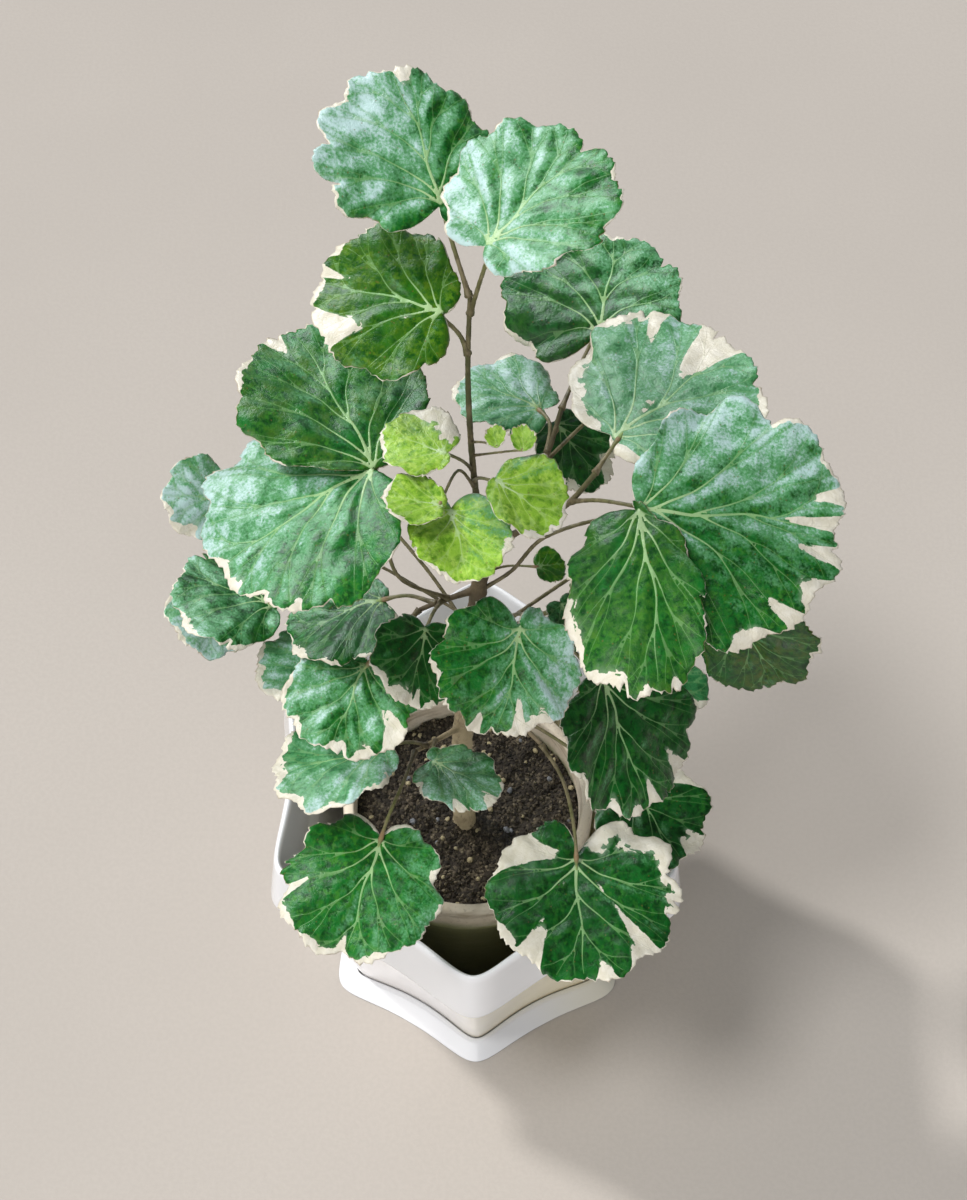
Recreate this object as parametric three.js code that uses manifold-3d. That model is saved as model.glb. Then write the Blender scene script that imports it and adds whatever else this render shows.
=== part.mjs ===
// A potted balfour aralia: a shrub with round scalloped leaves in a clay-coloured pot, inside a
// white six-cornered planter on its saucer. Millimetres, +Z up. The origin is the middle of the
// saucer's underside, and the planter's front corner points along -Y.
import * as THREE from 'three';
import { mergeVertices } from 'three/addons/utils/BufferGeometryUtils.js';
import Module from 'manifold-3d';

const wasm = await Module();
wasm.setup();

const GAP = 0.3; // clearance between touching pieces

// Six-cornered ware: corner radii are measured before the corners are rounded.
const HEX_TURN = -91; // degrees, direction of the front corner
const HEX_HOLLOW = 0.085; // how far each side curves in, per unit of corner radius
const HEX_SEGMENTS = 48;
const SAUCER = { height: 7, foot: 92, top: 81, recess: 78.2, floor: 3 };
const PLANTER = {
  height: 172, bandBottom: 134, bandFoot: 120.5, bandTop: 115.5, mouth: 110.5,
  waist: 105.5, base: 76.5, floor: 14, wall: 5,
};

// Round pot, a little off the planter's middle, as it stands in it.
const POT = {
  x: -4.9, y: -3.5, rim: 148, lipOuter: 60.5, lipInner: 55, lipHeight: 21, body: 55.5,
  base: 43, wall: 3, floor: 3.7, drain: 6,
};
const SOIL = { level: 133, roughness: 1.6, underTrunk: 2.5 };

// Leaf blade.
const BLADE = 0.9; // thickness
const SINUS = 0.24; // half width of the cut at the leaf stalk, radians
const RINGS = [0, 0.52, 1]; // shares of the way from the stalk to the margin
const STALK = { sides: 4, atStem: 1.3, atBlade: 0.95, reach: 0.14 };
// By the blade's radius: at least how large, how many lobes, how many points in each.
const LOBES = [[29.5, 10, 3], [18, 8, 3], [9, 7, 2], [0, 5, 2]];

const COLOURS = {
  glaze: [0xe9e9ee, 0.22], clay: [0xcdbd9f, 0.7], earth: [0x2c231c, 0.95], bark: [0x6b5336, 0.8],
  green: [0x2f6b3a, 0.4], deep: [0x1f5230, 0.35], pale: [0x7f9f83, 0.4], lime: [0x9fbf52, 0.45],
};
const makeMaterial = (name) => new THREE.MeshStandardMaterial({
  color: COLOURS[name][0], roughness: COLOURS[name][1], metalness: 0,
});

// Woody stems: points with the radius at the first and the last.
const STEMS = [
  { r: [6.3, 3.4], sides: 8,
    at: [[-6, -9, 96], [-6.5, -8, 140], [-7, -2, 205], [-3, 2, 263], [0, 6, 315], [4, 12, 350]] },
  { r: [2.7, 1.6], sides: 6, at: [[3.5, 11.5, 344], [-1, 15, 394], [-3, 20, 450], [-2, 25, 494]] },
  { r: [2.6, 1.9], sides: 6, at: [[3.5, 11, 344], [15, 12, 356], [35, 12, 376], [47, 14, 397]] },
  { r: [2.4, 1.8], sides: 6, at: [[3, 11, 342], [15, 28, 356], [28, 44, 364], [35, 60, 378]] },
  { r: [2.3, 1.8], sides: 6, at: [[0.5, 7, 322], [-14, 2, 321], [-24, -2, 320]] },
  { r: [2.3, 1.8], sides: 6, at: [[-7, -2, 218], [-17, -12, 225], [-28, -22, 231]] },
  { r: [2.3, 1.8], sides: 6, at: [[-1, 4, 300], [14, 1, 302], [26, 0, 305]] },
  { r: [2.3, 1.8], sides: 6, at: [[-4, 1, 250], [12, -14, 256], [28, -32, 257]] },
];

// Leaves. from: where the stalk leaves the wood, and any points on its way. at: where stalk and
// blade meet. turn: compass direction of the tip, its rise and the roll about the midrib, in
// degrees. size: radius of the blade, how far its middle lies ahead of the stalk and to the
// side, and its breadth where that isn't 1. bend: droop of the tip, cup of the whole, fall of
// the left and of the right flank, wave.
const LEAVES = [
  { name: 'crown_left', tone: 'green', seed: 1,
    from: [[-2.4, 24.8, 491.5], [-8, 32, 511]], at: [-12.2, 38, 525],
    blades: [{ turn: [104, 27, 6], size: [33, 20.5, 8], bend: [0.12, 0.05, 0.02, 0.45, 1.6] }] },
  { name: 'crown_right', tone: 'green', seed: 2,
    from: [[-2, 23.8, 483], [2, 21, 506]], at: [4, 16.7, 528.7],
    blades: [{ turn: [43, 19, -2], size: [32, 22, 1], bend: [0.1, 0.06, 0.05, 0.05, 1.4] }] },
  { name: 'crown_lower', tone: 'lime', seed: 3,
    from: [[-3, 21, 463], [-6, 22, 473]], at: [-12, 22, 486],
    blades: [{ turn: [164, 8, -20], size: [29, 20, 2], bend: [0.12, 0.04, 0.04, 0.1, 1.5] }] },
  { name: 'right_back', tone: 'deep', seed: 4,
    from: [[34.8, 59.5, 377.5], [42, 77, 381]], at: [50, 91, 387.5],
    blades: [{ turn: [72, 20, -6], size: [36.5, 12.5, 6], bend: [0.12, 0.03, 0.05, 0.22, 1.8] }] },
  { name: 'right_middle', tone: 'pale', seed: 5,
    from: [[46.5, 14, 396.5], [51, 21, 398]], at: [54.3, 30.5, 397],
    blades: [{ turn: [38, 5, -8], size: [41, 31, 5], bend: [0.1, 0.06, 0.05, 0.06, 2.0] }] },
  { name: 'right_big', tone: 'green', seed: 6,
    from: [[38, 12, 380], [49, 2, 395]], at: [62, -10, 407],
    blades: [
      { turn: [-1, -5, 19], size: [48, 38.5, -1], bend: [0.12, 0.03, 0.08, 0.16, 2.4] },
      { turn: [-78, -5, 2], size: [38, 33, -9, 0.7], bend: [0.22, 0.05, 0.06, 0.45, 1.4],
        seed: 46 },
    ] },
  { name: 'right_hanging', tone: 'deep', seed: 7,
    from: [[1.5, 7, 321], [14, 8, 334], [28, 12, 354], [60, 20, 356], [98, 29, 312]], at: [113, 30, 270],
    blades: [{ turn: [-44, -46, 60], size: [29, 22, 0], bend: [0.1, 0.05, 0.1, 0.05, 1.8] }] },
  { name: 'middle_back', tone: 'pale', seed: 8,
    from: [[29, 46, 365.5], [30, 58, 370]], at: [27, 66, 368],
    blades: [{ turn: [152, 8, 10], size: [23, 16, 0], bend: [0.14, 0.04, 0.1, 0.05, 1.2] }] },
  { name: 'back_right', tone: 'deep', seed: 9,
    from: [[18, 31, 358], [25, 52, 353]], at: [33, 72, 351],
    blades: [{ turn: [-50, -14, -14], size: [20, 15, 0], bend: [0.12, 0.04, 0.05, 0.1, 1.4] }] },
  { name: 'left_big', tone: 'green', seed: 10,
    from: [[-12, 3, 321], [-31, 0, 341], [-37, 0, 375]], at: [-39, 0, 419],
    blades: [
      { turn: [-152, -6, 4], size: [42, 32, 3], bend: [0.12, 0.05, 0.08, 0.1, 2.2] },
      { turn: [114, 12, 10], size: [37, 34, 3], bend: [0.1, 0.05, 0.1, 0.06, 1.8], seed: 50 },
    ] },
  { name: 'left_back', tone: 'pale', seed: 11,
    from: [[-1, 4.5, 300], [-40, 24, 312], [-84, 33, 338]], at: [-102, 35, 347],
    blades: [{ turn: [-163, 30, -32], size: [17, 15, 0], bend: [0.1, 0.05, 0.05, 0.05, 1.0] }] },
  { name: 'left_dark', tone: 'deep', seed: 12,
    from: [[-2.5, 2.2, 272], [-40, 12, 282], [-72, 15, 292]], at: [-88, 15, 295],
    blades: [{ turn: [160, 16, 12], size: [28, 17, 2], bend: [0.12, 0.03, 0.1, 0.05, 1.8] }] },
  { name: 'left_far', tone: 'pale', seed: 13,
    from: [[-4, 3, 262], [-50, 28, 262], [-96, 35, 276]], at: [-112, 35, 280],
    blades: [{ turn: [-100, 5, -30], size: [20, 17, -2], bend: [0.12, 0.05, 0.05, 0.1, 1.2] }] },
  { name: 'left_middle', tone: 'deep', seed: 14,
    from: [[-17, 0.8, 320.5], [-29, 5, 320]], at: [-39, 5, 317],
    blades: [{ turn: [-164, 1, 9], size: [25, 19, 4], bend: [0.14, 0.05, 0.06, 0.06, 1.5] }] },
  { name: 'left_pale', tone: 'pale', seed: 15,
    from: [[-4, 2, 256], [-30, 6, 264], [-52, 8, 272]], at: [-64, 5, 275],
    blades: [{ turn: [-130, 14, -16], size: [21, 17, 0], bend: [0.1, 0.05, 0.06, 0.06, 1.3] }] },
  { name: 'front_left', tone: 'green', seed: 16,
    from: [[-24, -2, 320], [-34, -12, 317]], at: [-46, -22, 310],
    blades: [{ turn: [-110, 4, -6], size: [27, 18, 1], bend: [0.16, 0.06, 0.08, 0.1, 1.8] }] },
  { name: 'front_dark', tone: 'deep', seed: 17,
    from: [[-15, 1.5, 321], [-18, -9, 329]], at: [-21, -20, 336],
    blades: [{ turn: [-98, -12, -34], size: [21, 14, 0], bend: [0.12, 0.05, 0.06, 0.12, 1.2] }] },
  { name: 'front_middle', tone: 'green', seed: 18,
    from: [[9, 2, 301.5], [16, -14, 336], [18, -32, 362]], at: [17, -38, 366],
    blades: [{ turn: [-96, -26, -24], size: [30, 16, -4], bend: [0.14, 0.06, 0.1, 0.1, 1.8] }] },
  { name: 'front_side', tone: 'pale', seed: 19,
    from: [[-23, -17.5, 228.5], [-30, -24, 244]], at: [-39, -32, 256],
    blades: [{ turn: [-163, 3, 9], size: [30, 24, 1, 0.82], bend: [0.1, 0.05, 0.1, 0.06, 1.5] }] },
  { name: 'front_small', tone: 'green', seed: 20,
    from: [[-19, -14, 226.5], [-20, -24, 234]], at: [-20, -30, 237],
    blades: [{ turn: [-24, 2, -11], size: [21, 14, -3, 0.86], bend: [0.12, 0.06, 0.06, 0.08, 1.0] }] },
  { name: 'low_left', tone: 'green', seed: 21,
    from: [[-28, -22, 231], [-32, -40, 239], [-39, -58, 237]], at: [-42, -66, 233],
    blades: [{ turn: [-105, 0, -1], size: [35.5, 22.5, -2], bend: [0.14, 0.06, 0.1, 0.1, 2.0] }] },
  { name: 'low_right', tone: 'green', seed: 22,
    from: [[28, -32, 257], [37, -46, 251], [43, -60, 226]], at: [44, -66, 213],
    blades: [{ turn: [-90, 2, -4], size: [42, 17, 4], bend: [0.14, 0.06, 0.1, 0.12, 2.2] }] },
  { name: 'right_low', tone: 'deep', seed: 23,
    from: [[26, 0, 305], [38, -11, 307]], at: [52, -25, 304],
    blades: [{ turn: [-66, -32, -24], size: [35, 28, 4], bend: [0.1, 0.05, 0.08, 0.1, 2.0] }] },
  { name: 'right_pale', tone: 'lime', seed: 24,
    from: [[-5, 0, 238], [24, -4, 224], [52, -18, 212]], at: [67, -25, 204],
    blades: [{ turn: [-48, -10, -3], size: [28, 19, 0], bend: [0.14, 0.05, 0.08, 0.08, 1.8] }] },
  { name: 'right_edge', tone: 'pale', seed: 25,
    from: [[24, 0.5, 304.5], [52, 14, 272], [72, 20, 238]], at: [82, 20, 227],
    blades: [{ turn: [-20, -16, -5], size: [15, 13, 0], bend: [0.1, 0.05, 0.06, 0.06, 0.8] }] },
  { name: 'small_dark', tone: 'deep', seed: 26,
    from: [[15, 0.9, 302.3], [27, 1, 312]], at: [35, 2, 319],
    blades: [{ turn: [-49, -22, -16], size: [14, 10, 0], bend: [0.1, 0.05, 0.06, 0.06, 0.5] }] },
  { name: 'small_lime', tone: 'lime', seed: 37,
    from: [[2.5, 9.5, 331], [13, 14, 329]], at: [25, 12, 331],
    blades: [{ turn: [20, -8, 12], size: [8, 6, 0], bend: [0.2, 0.1, 0.1, 0.1, 0.4] }] },
  { name: 'hidden_left', tone: 'deep', seed: 27,
    from: [[-2, 4, 290], [-24, 34, 300], [-46, 56, 308]], at: [-56, 62, 308],
    blades: [{ turn: [170, -4, 6], size: [26, 16, 0], bend: [0.14, 0.05, 0.08, 0.08, 1.4] }] },
  { name: 'hidden_right', tone: 'deep', seed: 28,
    from: [[10, 1.7, 301.5], [50, 34, 300], [80, 55, 303]], at: [89, 58, 302],
    blades: [{ turn: [10, -6, 2], size: [28, 20, 0], bend: [0.14, 0.05, 0.08, 0.08, 1.6] }] },
  { name: 'hidden_back', tone: 'green', seed: 29,
    from: [[24, 39, 362], [46, 66, 360], [57, 80, 356]], at: [64, 86, 352],
    blades: [{ turn: [50, -12, 0], size: [27, 18, 0], bend: [0.14, 0.05, 0.08, 0.08, 1.5] }] },
  { name: 'hidden_low', tone: 'green', seed: 30,
    from: [[-4, 1, 246], [22, 34, 250], [44, 44, 246]], at: [54, 46, 240],
    blades: [{ turn: [40, -8, 0], size: [27, 19, 0], bend: [0.14, 0.05, 0.08, 0.08, 1.5] }] },
  // Young leaves and unopened buds at the middle of the leader.
  { name: 'young_top', tone: 'lime', seed: 31,
    from: [[-1.6, 15.6, 397], [-6, 8, 414]], at: [-11, 2, 427],
    blades: [{ turn: [164, 2, 3], size: [16, 11, -1], bend: [0.1, 0.1, 0.02, 0.02, 1.0] }] },
  { name: 'young_left', tone: 'lime', seed: 32,
    from: [[-1, 14, 388], [-7, 5, 411]], at: [-12, -20.3, 424],
    blades: [{ turn: [172, 9, 10], size: [13, 11, 1], bend: [0.1, 0.12, 0, 0, 0.8] }] },
  { name: 'young_middle', tone: 'lime', seed: 33,
    from: [[-0.2, 13.2, 381], [-1, -6, 396]], at: [-9.5, -15.5, 415],
    blades: [{ turn: [-80, -2, -4], size: [20, 12, 2], bend: [0.12, 0.08, 0, 0, 1.0] }] },
  { name: 'young_right', tone: 'lime', seed: 34,
    from: [[-0.8, 14.6, 391], [2, 3, 409]], at: [7, -8, 424],
    blades: [{ turn: [-34, -16, -3], size: [17, 14, 3], bend: [0.1, 0.08, 0, 0, 1.0] }] },
  { name: 'bud_left', tone: 'lime', seed: 35,
    from: [[-2, 17.2, 413], [3, 9, 424]], at: [8, 0, 433],
    blades: [{ turn: [104, 10, 0], size: [4, 4, 0], bend: [0, 0.3, 0, 0, 0.3] }] },
  { name: 'bud_right', tone: 'lime', seed: 36,
    from: [[-1.8, 16.4, 405], [9, 8, 419]], at: [17.5, 0.5, 430],
    blades: [{ turn: [86, 10, 0], size: [4.8, 4.4, 0], bend: [0, 0.3, 0, 0, 0.3] }] },
];

const toPoint = ([x, y, z]) => new THREE.Vector3(x, y, z);
const fraction = (value) => value - Math.floor(value);
const draw = (k, seed) => fraction(Math.sin(k * 127.1 + seed * 311.7) * 43758.5453);

function bare(geometry) {
  geometry.deleteAttribute('normal');
  geometry.deleteAttribute('uv');
  return mergeVertices(geometry, 1e-4);
}

function toSolid(geometry) {
  return new wasm.Manifold(new wasm.Mesh({
    numProp: 3,
    vertProperties: Float32Array.from(geometry.getAttribute('position').array),
    triVerts: Uint32Array.from(geometry.getIndex().array),
  }));
}

function toGeometry(solid) {
  const mesh = solid.getMesh();
  const geometry = new THREE.BufferGeometry();
  geometry.setAttribute('position', new THREE.BufferAttribute(mesh.vertProperties, 3));
  geometry.setIndex(new THREE.BufferAttribute(mesh.triVerts, 1));
  return geometry;
}

function joinAll(solids) {
  return solids.reduce((whole, solid) => whole.add(solid));
}

// Radius of a hollow-sided hexagon at an angle from its corner, with a softened corner.
function hexRadius(angle, soft) {
  const step = Math.PI / 3;
  const fromCorner = Math.abs(angle - step * Math.round(angle / step));
  const eased = Math.min(step / 2, Math.hypot(fromCorner, soft));
  const along = Math.tan(step / 2 - eased) / Math.tan(step / 2);
  const side = Math.cos(step / 2) - HEX_HOLLOW * (1 - along * along);
  return side / Math.cos(step / 2 - eased);
}

// Turns a profile of [corner radius, height, softness in degrees] into a closed hexagonal body.
function hexTurned(profile) {
  const points = profile.map(([r, z]) => new THREE.Vector2(r, z));
  const geometry = new THREE.LatheGeometry(points, HEX_SEGMENTS);
  const position = geometry.getAttribute('position');
  for (let i = 0; i < position.count; i += 1) {
    const [r, z, soft = 5] = profile[i % profile.length];
    const even = (Math.floor(i / profile.length) / HEX_SEGMENTS) * Math.PI * 2;
    const angle = even - 0.125 * Math.sin(6 * even);
    const reach = r * hexRadius(angle, THREE.MathUtils.degToRad(soft));
    const turned = angle + THREE.MathUtils.degToRad(HEX_TURN);
    position.setXYZ(i, reach * Math.cos(turned), reach * Math.sin(turned), z);
  }
  return bare(geometry);
}

function makeSaucer() {
  const s = SAUCER;
  return hexTurned([
    [0, 0], [s.foot - 2, 0, 6], [s.foot, 0.8, 6], [s.top + 1.2, s.height - 0.6], [s.top, s.height],
    [s.recess + 0.8, s.height, 4], [s.recess, s.height - 0.8, 4], [s.recess, s.floor, 4], [0, s.floor],
  ]);
}

function makePlanter() {
  const p = PLANTER;
  const bottom = SAUCER.floor + GAP;
  return hexTurned([
    [0, bottom], [p.base - 1.5, bottom, 4], [p.base, bottom + 1.5, 4], [p.waist, p.bandBottom - 1, 4],
    [p.bandFoot - 2, p.bandBottom], [p.bandFoot, p.bandBottom + 1.6], [p.bandTop + 0.2, p.height - 3],
    [p.bandTop - 0.8, p.height - 0.8], [p.bandTop - 2.4, p.height, 4.6], [p.mouth + 0.8, p.height - 0.6, 4],
    [p.mouth, p.height - 2.4, 4], [p.waist - 1, p.bandBottom + 2, 4],
    [p.waist - p.wall - 1, p.bandBottom - 6, 4], [p.base - 3, p.floor, 4], [0, p.floor],
  ]);
}

// A round profile turned about an upright axis at x, y.
function turnedAt(profile, segments, x, y) {
  const points = profile.map(([r, z]) => new THREE.Vector2(r, z));
  const geometry = new THREE.LatheGeometry(points, segments);
  geometry.rotateX(Math.PI / 2);
  geometry.translate(x, y, 0);
  return geometry;
}

function makePot() {
  const p = POT;
  const bottom = PLANTER.floor + GAP;
  const lip = p.rim - p.lipHeight;
  return bare(turnedAt([
    [p.drain, bottom], [p.base - 2, bottom], [p.base, bottom + 2], [p.body, lip - 1.5],
    [p.lipOuter - 1.2, lip], [p.lipOuter, lip + 1.6], [p.lipOuter, p.rim - 2], [p.lipOuter - 1.6, p.rim],
    [p.lipInner + 0.8, p.rim], [p.lipInner, p.rim - 1], [p.lipInner - 1, lip], [p.body - p.wall, lip - 3],
    [p.base - p.wall, bottom + p.floor], [p.drain, bottom + p.floor], [p.drain, bottom],
  ], 36, p.x, p.y));
}

function soilHeight(x, y) {
  const mound = SOIL.underTrunk * Math.exp(-((x + 1) ** 2 + (y + 5) ** 2) / 260);
  return mound + SOIL.roughness * (Math.sin(x * 0.31 + 1.2) * Math.cos(y * 0.27)
    + 0.6 * Math.sin(x * 0.72 - y * 0.58));
}

function makeSoil(trunkHole) {
  const p = POT;
  const bottom = PLANTER.floor + 2 * GAP + p.floor;
  const lip = p.rim - p.lipHeight;
  const wall = p.lipInner - 1 - GAP;
  const profile = [[0, bottom], [p.base - p.wall - GAP, bottom], [p.body - p.wall - GAP, lip - 3],
    [wall, lip + 0.5], [wall, SOIL.level - 2]];
  const rings = [49, 38, 27, 15, 0];
  const geometry = turnedAt(profile.concat(rings.map((r) => [r, SOIL.level])), 28, p.x, p.y);
  const position = geometry.getAttribute('position');
  for (let i = 0; i < position.count; i += 1) {
    if (position.getZ(i) < SOIL.level - 1) continue;
    const rise = soilHeight(position.getX(i) - p.x, position.getY(i) - p.y);
    position.setZ(i, SOIL.level + rise);
  }
  return toGeometry(toSolid(bare(geometry)).subtract(trunkHole));
}

// A round bar that narrows along a curve, with flat closed ends.
function taperedBar(points, [rStart, rEnd], sides) {
  const curve = new THREE.CatmullRomCurve3(points.map(toPoint), false, 'centripetal');
  const steps = Math.max(2, Math.round((points.length - 1) * 1.5));
  const frames = curve.computeFrenetFrames(steps, false);
  const geometry = new THREE.CylinderGeometry(1, 1, 1, sides, steps);
  const position = geometry.getAttribute('position');
  for (let i = 0; i < position.count; i += 1) {
    const step = Math.round((position.getY(i) + 0.5) * steps);
    const radius = rStart + (rEnd - rStart) * (step / steps);
    const place = curve.getPointAt(step / steps);
    place.addScaledVector(frames.normals[step], position.getX(i) * radius);
    place.addScaledVector(frames.binormals[step], -position.getZ(i) * radius);
    position.setXYZ(i, place.x, place.y, place.z);
  }
  return toSolid(bare(geometry));
}

function woodySolid(extra) {
  return joinAll(STEMS.map(({ at, r, sides }) => taperedBar(at, r.map((value) => value + extra), sides)));
}

// Lobes of the margin: each rounded, with a cut between it and the next.
function marginScale(angle, lobes, seed) {
  const place = ((angle + Math.PI) / (2 * Math.PI)) * lobes;
  const within = fraction(place);
  const nearest = Math.round(place) % lobes;
  const depth = 0.05 + 0.09 * draw(nearest, seed) ** 2;
  const swell = 0.03 * Math.sin(2 * angle + seed) + 0.025 * Math.sin(3 * angle + 2.3 * seed);
  return 1 + swell - depth * Math.abs(Math.cos(Math.PI * within)) ** 3;
}

// Point of the margin in the blade's own plane, x towards the tip, the stalk at zero.
function marginPoint(angle, [radius, ahead, aside, breadth = 1], lobes, seed) {
  const reach = radius * marginScale(angle, lobes, seed);
  const x = ahead + reach * 0.95 * Math.cos(angle);
  const y = aside + reach * 1.04 * breadth * Math.sin(angle);
  const back = Math.PI - Math.abs(angle);
  const cut = 1 - 0.86 * Math.exp(-((back / SINUS) ** 2));
  return [x * cut, y * cut];
}

function bladeHeight(x, y, share, angle, { size, bend }, seed) {
  const [radius] = size;
  const [droop, cup, left, right, wave] = bend;
  const r2 = x * x + y * y;
  return (cup * r2 - droop * Math.max(0, x) ** 2 - left * Math.max(0, y) ** 2
    - right * Math.max(0, -y) ** 2) / radius + 0.1 * Math.abs(y) * (1 - share * 0.5)
    + wave * share * share * Math.sin(4 * angle + seed * 1.7);
}

function bladeFrame([heading, rise, roll]) {
  const [h, p, r] = [heading, rise, roll].map(THREE.MathUtils.degToRad);
  const along = new THREE.Vector3(Math.cos(h) * Math.cos(p), Math.sin(h) * Math.cos(p), Math.sin(p));
  const level = new THREE.Vector3(-Math.sin(h), Math.cos(h), 0);
  const upright = new THREE.Vector3().crossVectors(along, level);
  const normal = upright.clone().applyAxisAngle(along, r);
  const across = new THREE.Vector3().crossVectors(normal, along);
  return new THREE.Matrix4().makeBasis(along, across, normal);
}

// Both faces of a lathed disc get the same diagonals, so the thin blade stays clear of itself.
function evenDiagonals(segments, rows) {
  const index = [];
  const top = (rows - 2) / 2;
  for (let i = 0; i < segments; i += 1) {
    for (let j = 0; j < rows - 1; j += 1) {
      const a = i * rows + j;
      const b = a + rows;
      if (j <= top) index.push(a, a + 1, b, b + 1, b, a + 1);
      else index.push(a, b + 1, b, a, a + 1, b + 1);
    }
  }
  return index;
}

function makeBlade(blade, seed) {
  const [, lobes, points] = LOBES.find(([least]) => blade.size[0] >= least);
  const segments = lobes * points;
  const faces = [...RINGS.map((s) => [s, 1]), ...RINGS.map((s) => [s, -1]).reverse()];
  const rim = faces.map(([share, side]) => new THREE.Vector2(share, side));
  const geometry = new THREE.LatheGeometry(rim, segments);
  const position = geometry.getAttribute('position');
  for (let i = 0; i < position.count; i += 1) {
    const [share, side] = faces[i % faces.length];
    const angle = (Math.floor(i / faces.length) / segments) * 2 * Math.PI - Math.PI;
    const [mx, my] = marginPoint(angle, blade.size, lobes, seed);
    const z = bladeHeight(mx * share, my * share, share, angle, blade, seed);
    position.setXYZ(i, mx * share, my * share, z + (side * BLADE) / 2);
  }
  geometry.setIndex(evenDiagonals(segments, faces.length));
  return bare(geometry).applyMatrix4(bladeFrame(blade.turn));
}

// A smaller blade has a thinner stalk.
function makeStalk(from, at, blade) {
  const share = Math.min(1, 0.45 + blade.size[0] / 45);
  const radii = [STALK.atStem * share, STALK.atBlade * share];
  const end = new THREE.Vector3(STALK.reach * blade.size[0], 0, 0)
    .applyMatrix4(bladeFrame(blade.turn)).add(toPoint(at));
  return taperedBar([...from, end.toArray()], radii, STALK.sides);
}

function makeLeaf({ from, at, blades, seed }, wood) {
  const stalk = makeStalk(from, at, blades[0]);
  const solids = blades.map((blade) => (
    toSolid(makeBlade(blade, blade.seed ?? seed).translate(...at))));
  return toGeometry(joinAll([stalk, ...solids]).subtract(wood));
}

const plant = new THREE.Group();

function place(name, tone, geometry) {
  const mesh = new THREE.Mesh(geometry, makeMaterial(tone));
  mesh.name = name;
  plant.add(mesh);
}

const wood = woodySolid(0);
const woodWithGap = woodySolid(GAP);
place('saucer', 'glaze', makeSaucer());
place('planter', 'glaze', makePlanter());
place('pot', 'clay', makePot());
place('soil', 'earth', makeSoil(woodWithGap));
place('stem', 'bark', toGeometry(wood));
LEAVES.forEach((leaf) => place(`leaf_${leaf.name}`, leaf.tone, makeLeaf(leaf, woodWithGap)));

export default plant;
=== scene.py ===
"""A potted balfour aralia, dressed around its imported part: waved, veined and cream-edged leaves,
barked stems, crumbly soil, a stained clay pot and a glossy six-cornered planter on its saucer.
Tables are in millimetres and degrees; everything that goes into a mesh is turned into metres."""
import math
from typing import NamedTuple

import bpy
import numpy as np
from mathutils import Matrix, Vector
from mathutils.geometry import delaunay_2d_cdt
from mathutils.kdtree import KDTree


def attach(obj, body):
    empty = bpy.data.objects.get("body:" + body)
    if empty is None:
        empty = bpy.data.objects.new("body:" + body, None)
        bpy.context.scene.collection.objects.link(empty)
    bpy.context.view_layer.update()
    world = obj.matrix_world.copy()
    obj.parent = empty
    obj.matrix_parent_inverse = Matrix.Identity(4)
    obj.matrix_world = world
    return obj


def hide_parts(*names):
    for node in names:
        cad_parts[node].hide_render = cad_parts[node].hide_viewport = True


MM = 0.001
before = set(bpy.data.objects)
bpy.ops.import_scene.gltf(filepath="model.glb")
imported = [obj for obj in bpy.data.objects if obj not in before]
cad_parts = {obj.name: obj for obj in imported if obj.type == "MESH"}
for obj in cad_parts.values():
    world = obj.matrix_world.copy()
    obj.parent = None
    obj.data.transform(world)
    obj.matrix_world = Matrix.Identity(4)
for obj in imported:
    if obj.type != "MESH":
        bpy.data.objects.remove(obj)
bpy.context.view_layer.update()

# Six-cornered ware: the front corner's direction, how far the sides curve in, and both profiles.
HEX_TURN = math.radians(-91)
HEX_HOLLOW = 0.085
HEX_SEGMENTS = 432
HEX_SOFTNESS = 5.0  # how wide a corner is eased, degrees, where a profile's point says no other
HEX_CROWDING = 0.125  # how far points are drawn towards the corners, radians
HEX_EASE = 1.8  # rounding of its profile
HEX_STEP = 6.0  # longest step along the profile
SAUCER = {"height": 7.0, "foot": 92.0, "top": 81.0, "recess": 77.5, "floor": 3.0}
PLANTER = {
    "height": 172.0, "band_bottom": 134.0, "band_foot": 120.5, "band_top": 115.5, "mouth": 110.5,
    "waist": 105.5, "base": 76.5, "floor": 14.0, "wall": 5.0,
}
POT = {
    "rim": 148.0, "lip_outer": 60.5, "lip_inner": 55.0, "lip_height": 21.0, "body": 55.5,
    "base": 43.0, "wall": 3.0, "floor": 3.7, "drain": 6.0,
}
POT_MIDDLE = (-4.9, -3.5)
POT_SEGMENTS = 160
POT_EASE = 1.4
POT_STEP = 4.0
SOIL = {"level": 133.0, "roughness": 1.6, "under_trunk": 2.5, "rings": 44, "segments": 150}
GAP = 0.3  # clearance between touching pieces

# Blades.
SINUS = 0.24  # half width of the cut at the leaf stalk, radians
LOBES = ((29.5, 10), (18, 8), (9, 7), (0, 5))  # least radius of a blade, and its number of lobes
MARGIN_POINTS = 1801  # that the outline is measured by
RIM_SPACING = 0.8  # between the mesh's points along the margin
SPACING = 0.98  # between its points inside
VEIN_SAMPLE = 0.15  # between the points that a vein is measured by
VEIN_POINT = 4  # every so many of them is a point of the mesh
VEIN_GAP = 0.34  # least distance between two of these
BLADE_THICK = 0.5
RIM_THICK = 0.22
RIM_WIDE = 1.5  # over which a blade thins to its rim
STALK_REACH = 0.14  # how far a stalk runs on along the midrib, per blade radius
STALK_SIDES = 12
STALK_STEP = 1.1

# Half widths of a large blade's midrib, at its start and its end. Side veins: start along the
# midrib, direction of the end, how far that varies, half width. Forks: start along a side vein,
# and how far they turn off; only the two long side veins have the last one.
MIDRIB = (0.94, 0.11)
SIDE_VEINS = ((0.0, 144, 14, 0.30), (0.0, 103, 18, 0.52), (0.05, 66, 16, 0.56),
              (0.25, 40, 11, 0.40), (0.52, 20, 7, 0.28))
FORKS = ((0.40, -11), (0.62, 10), (0.80, -6))

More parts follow.
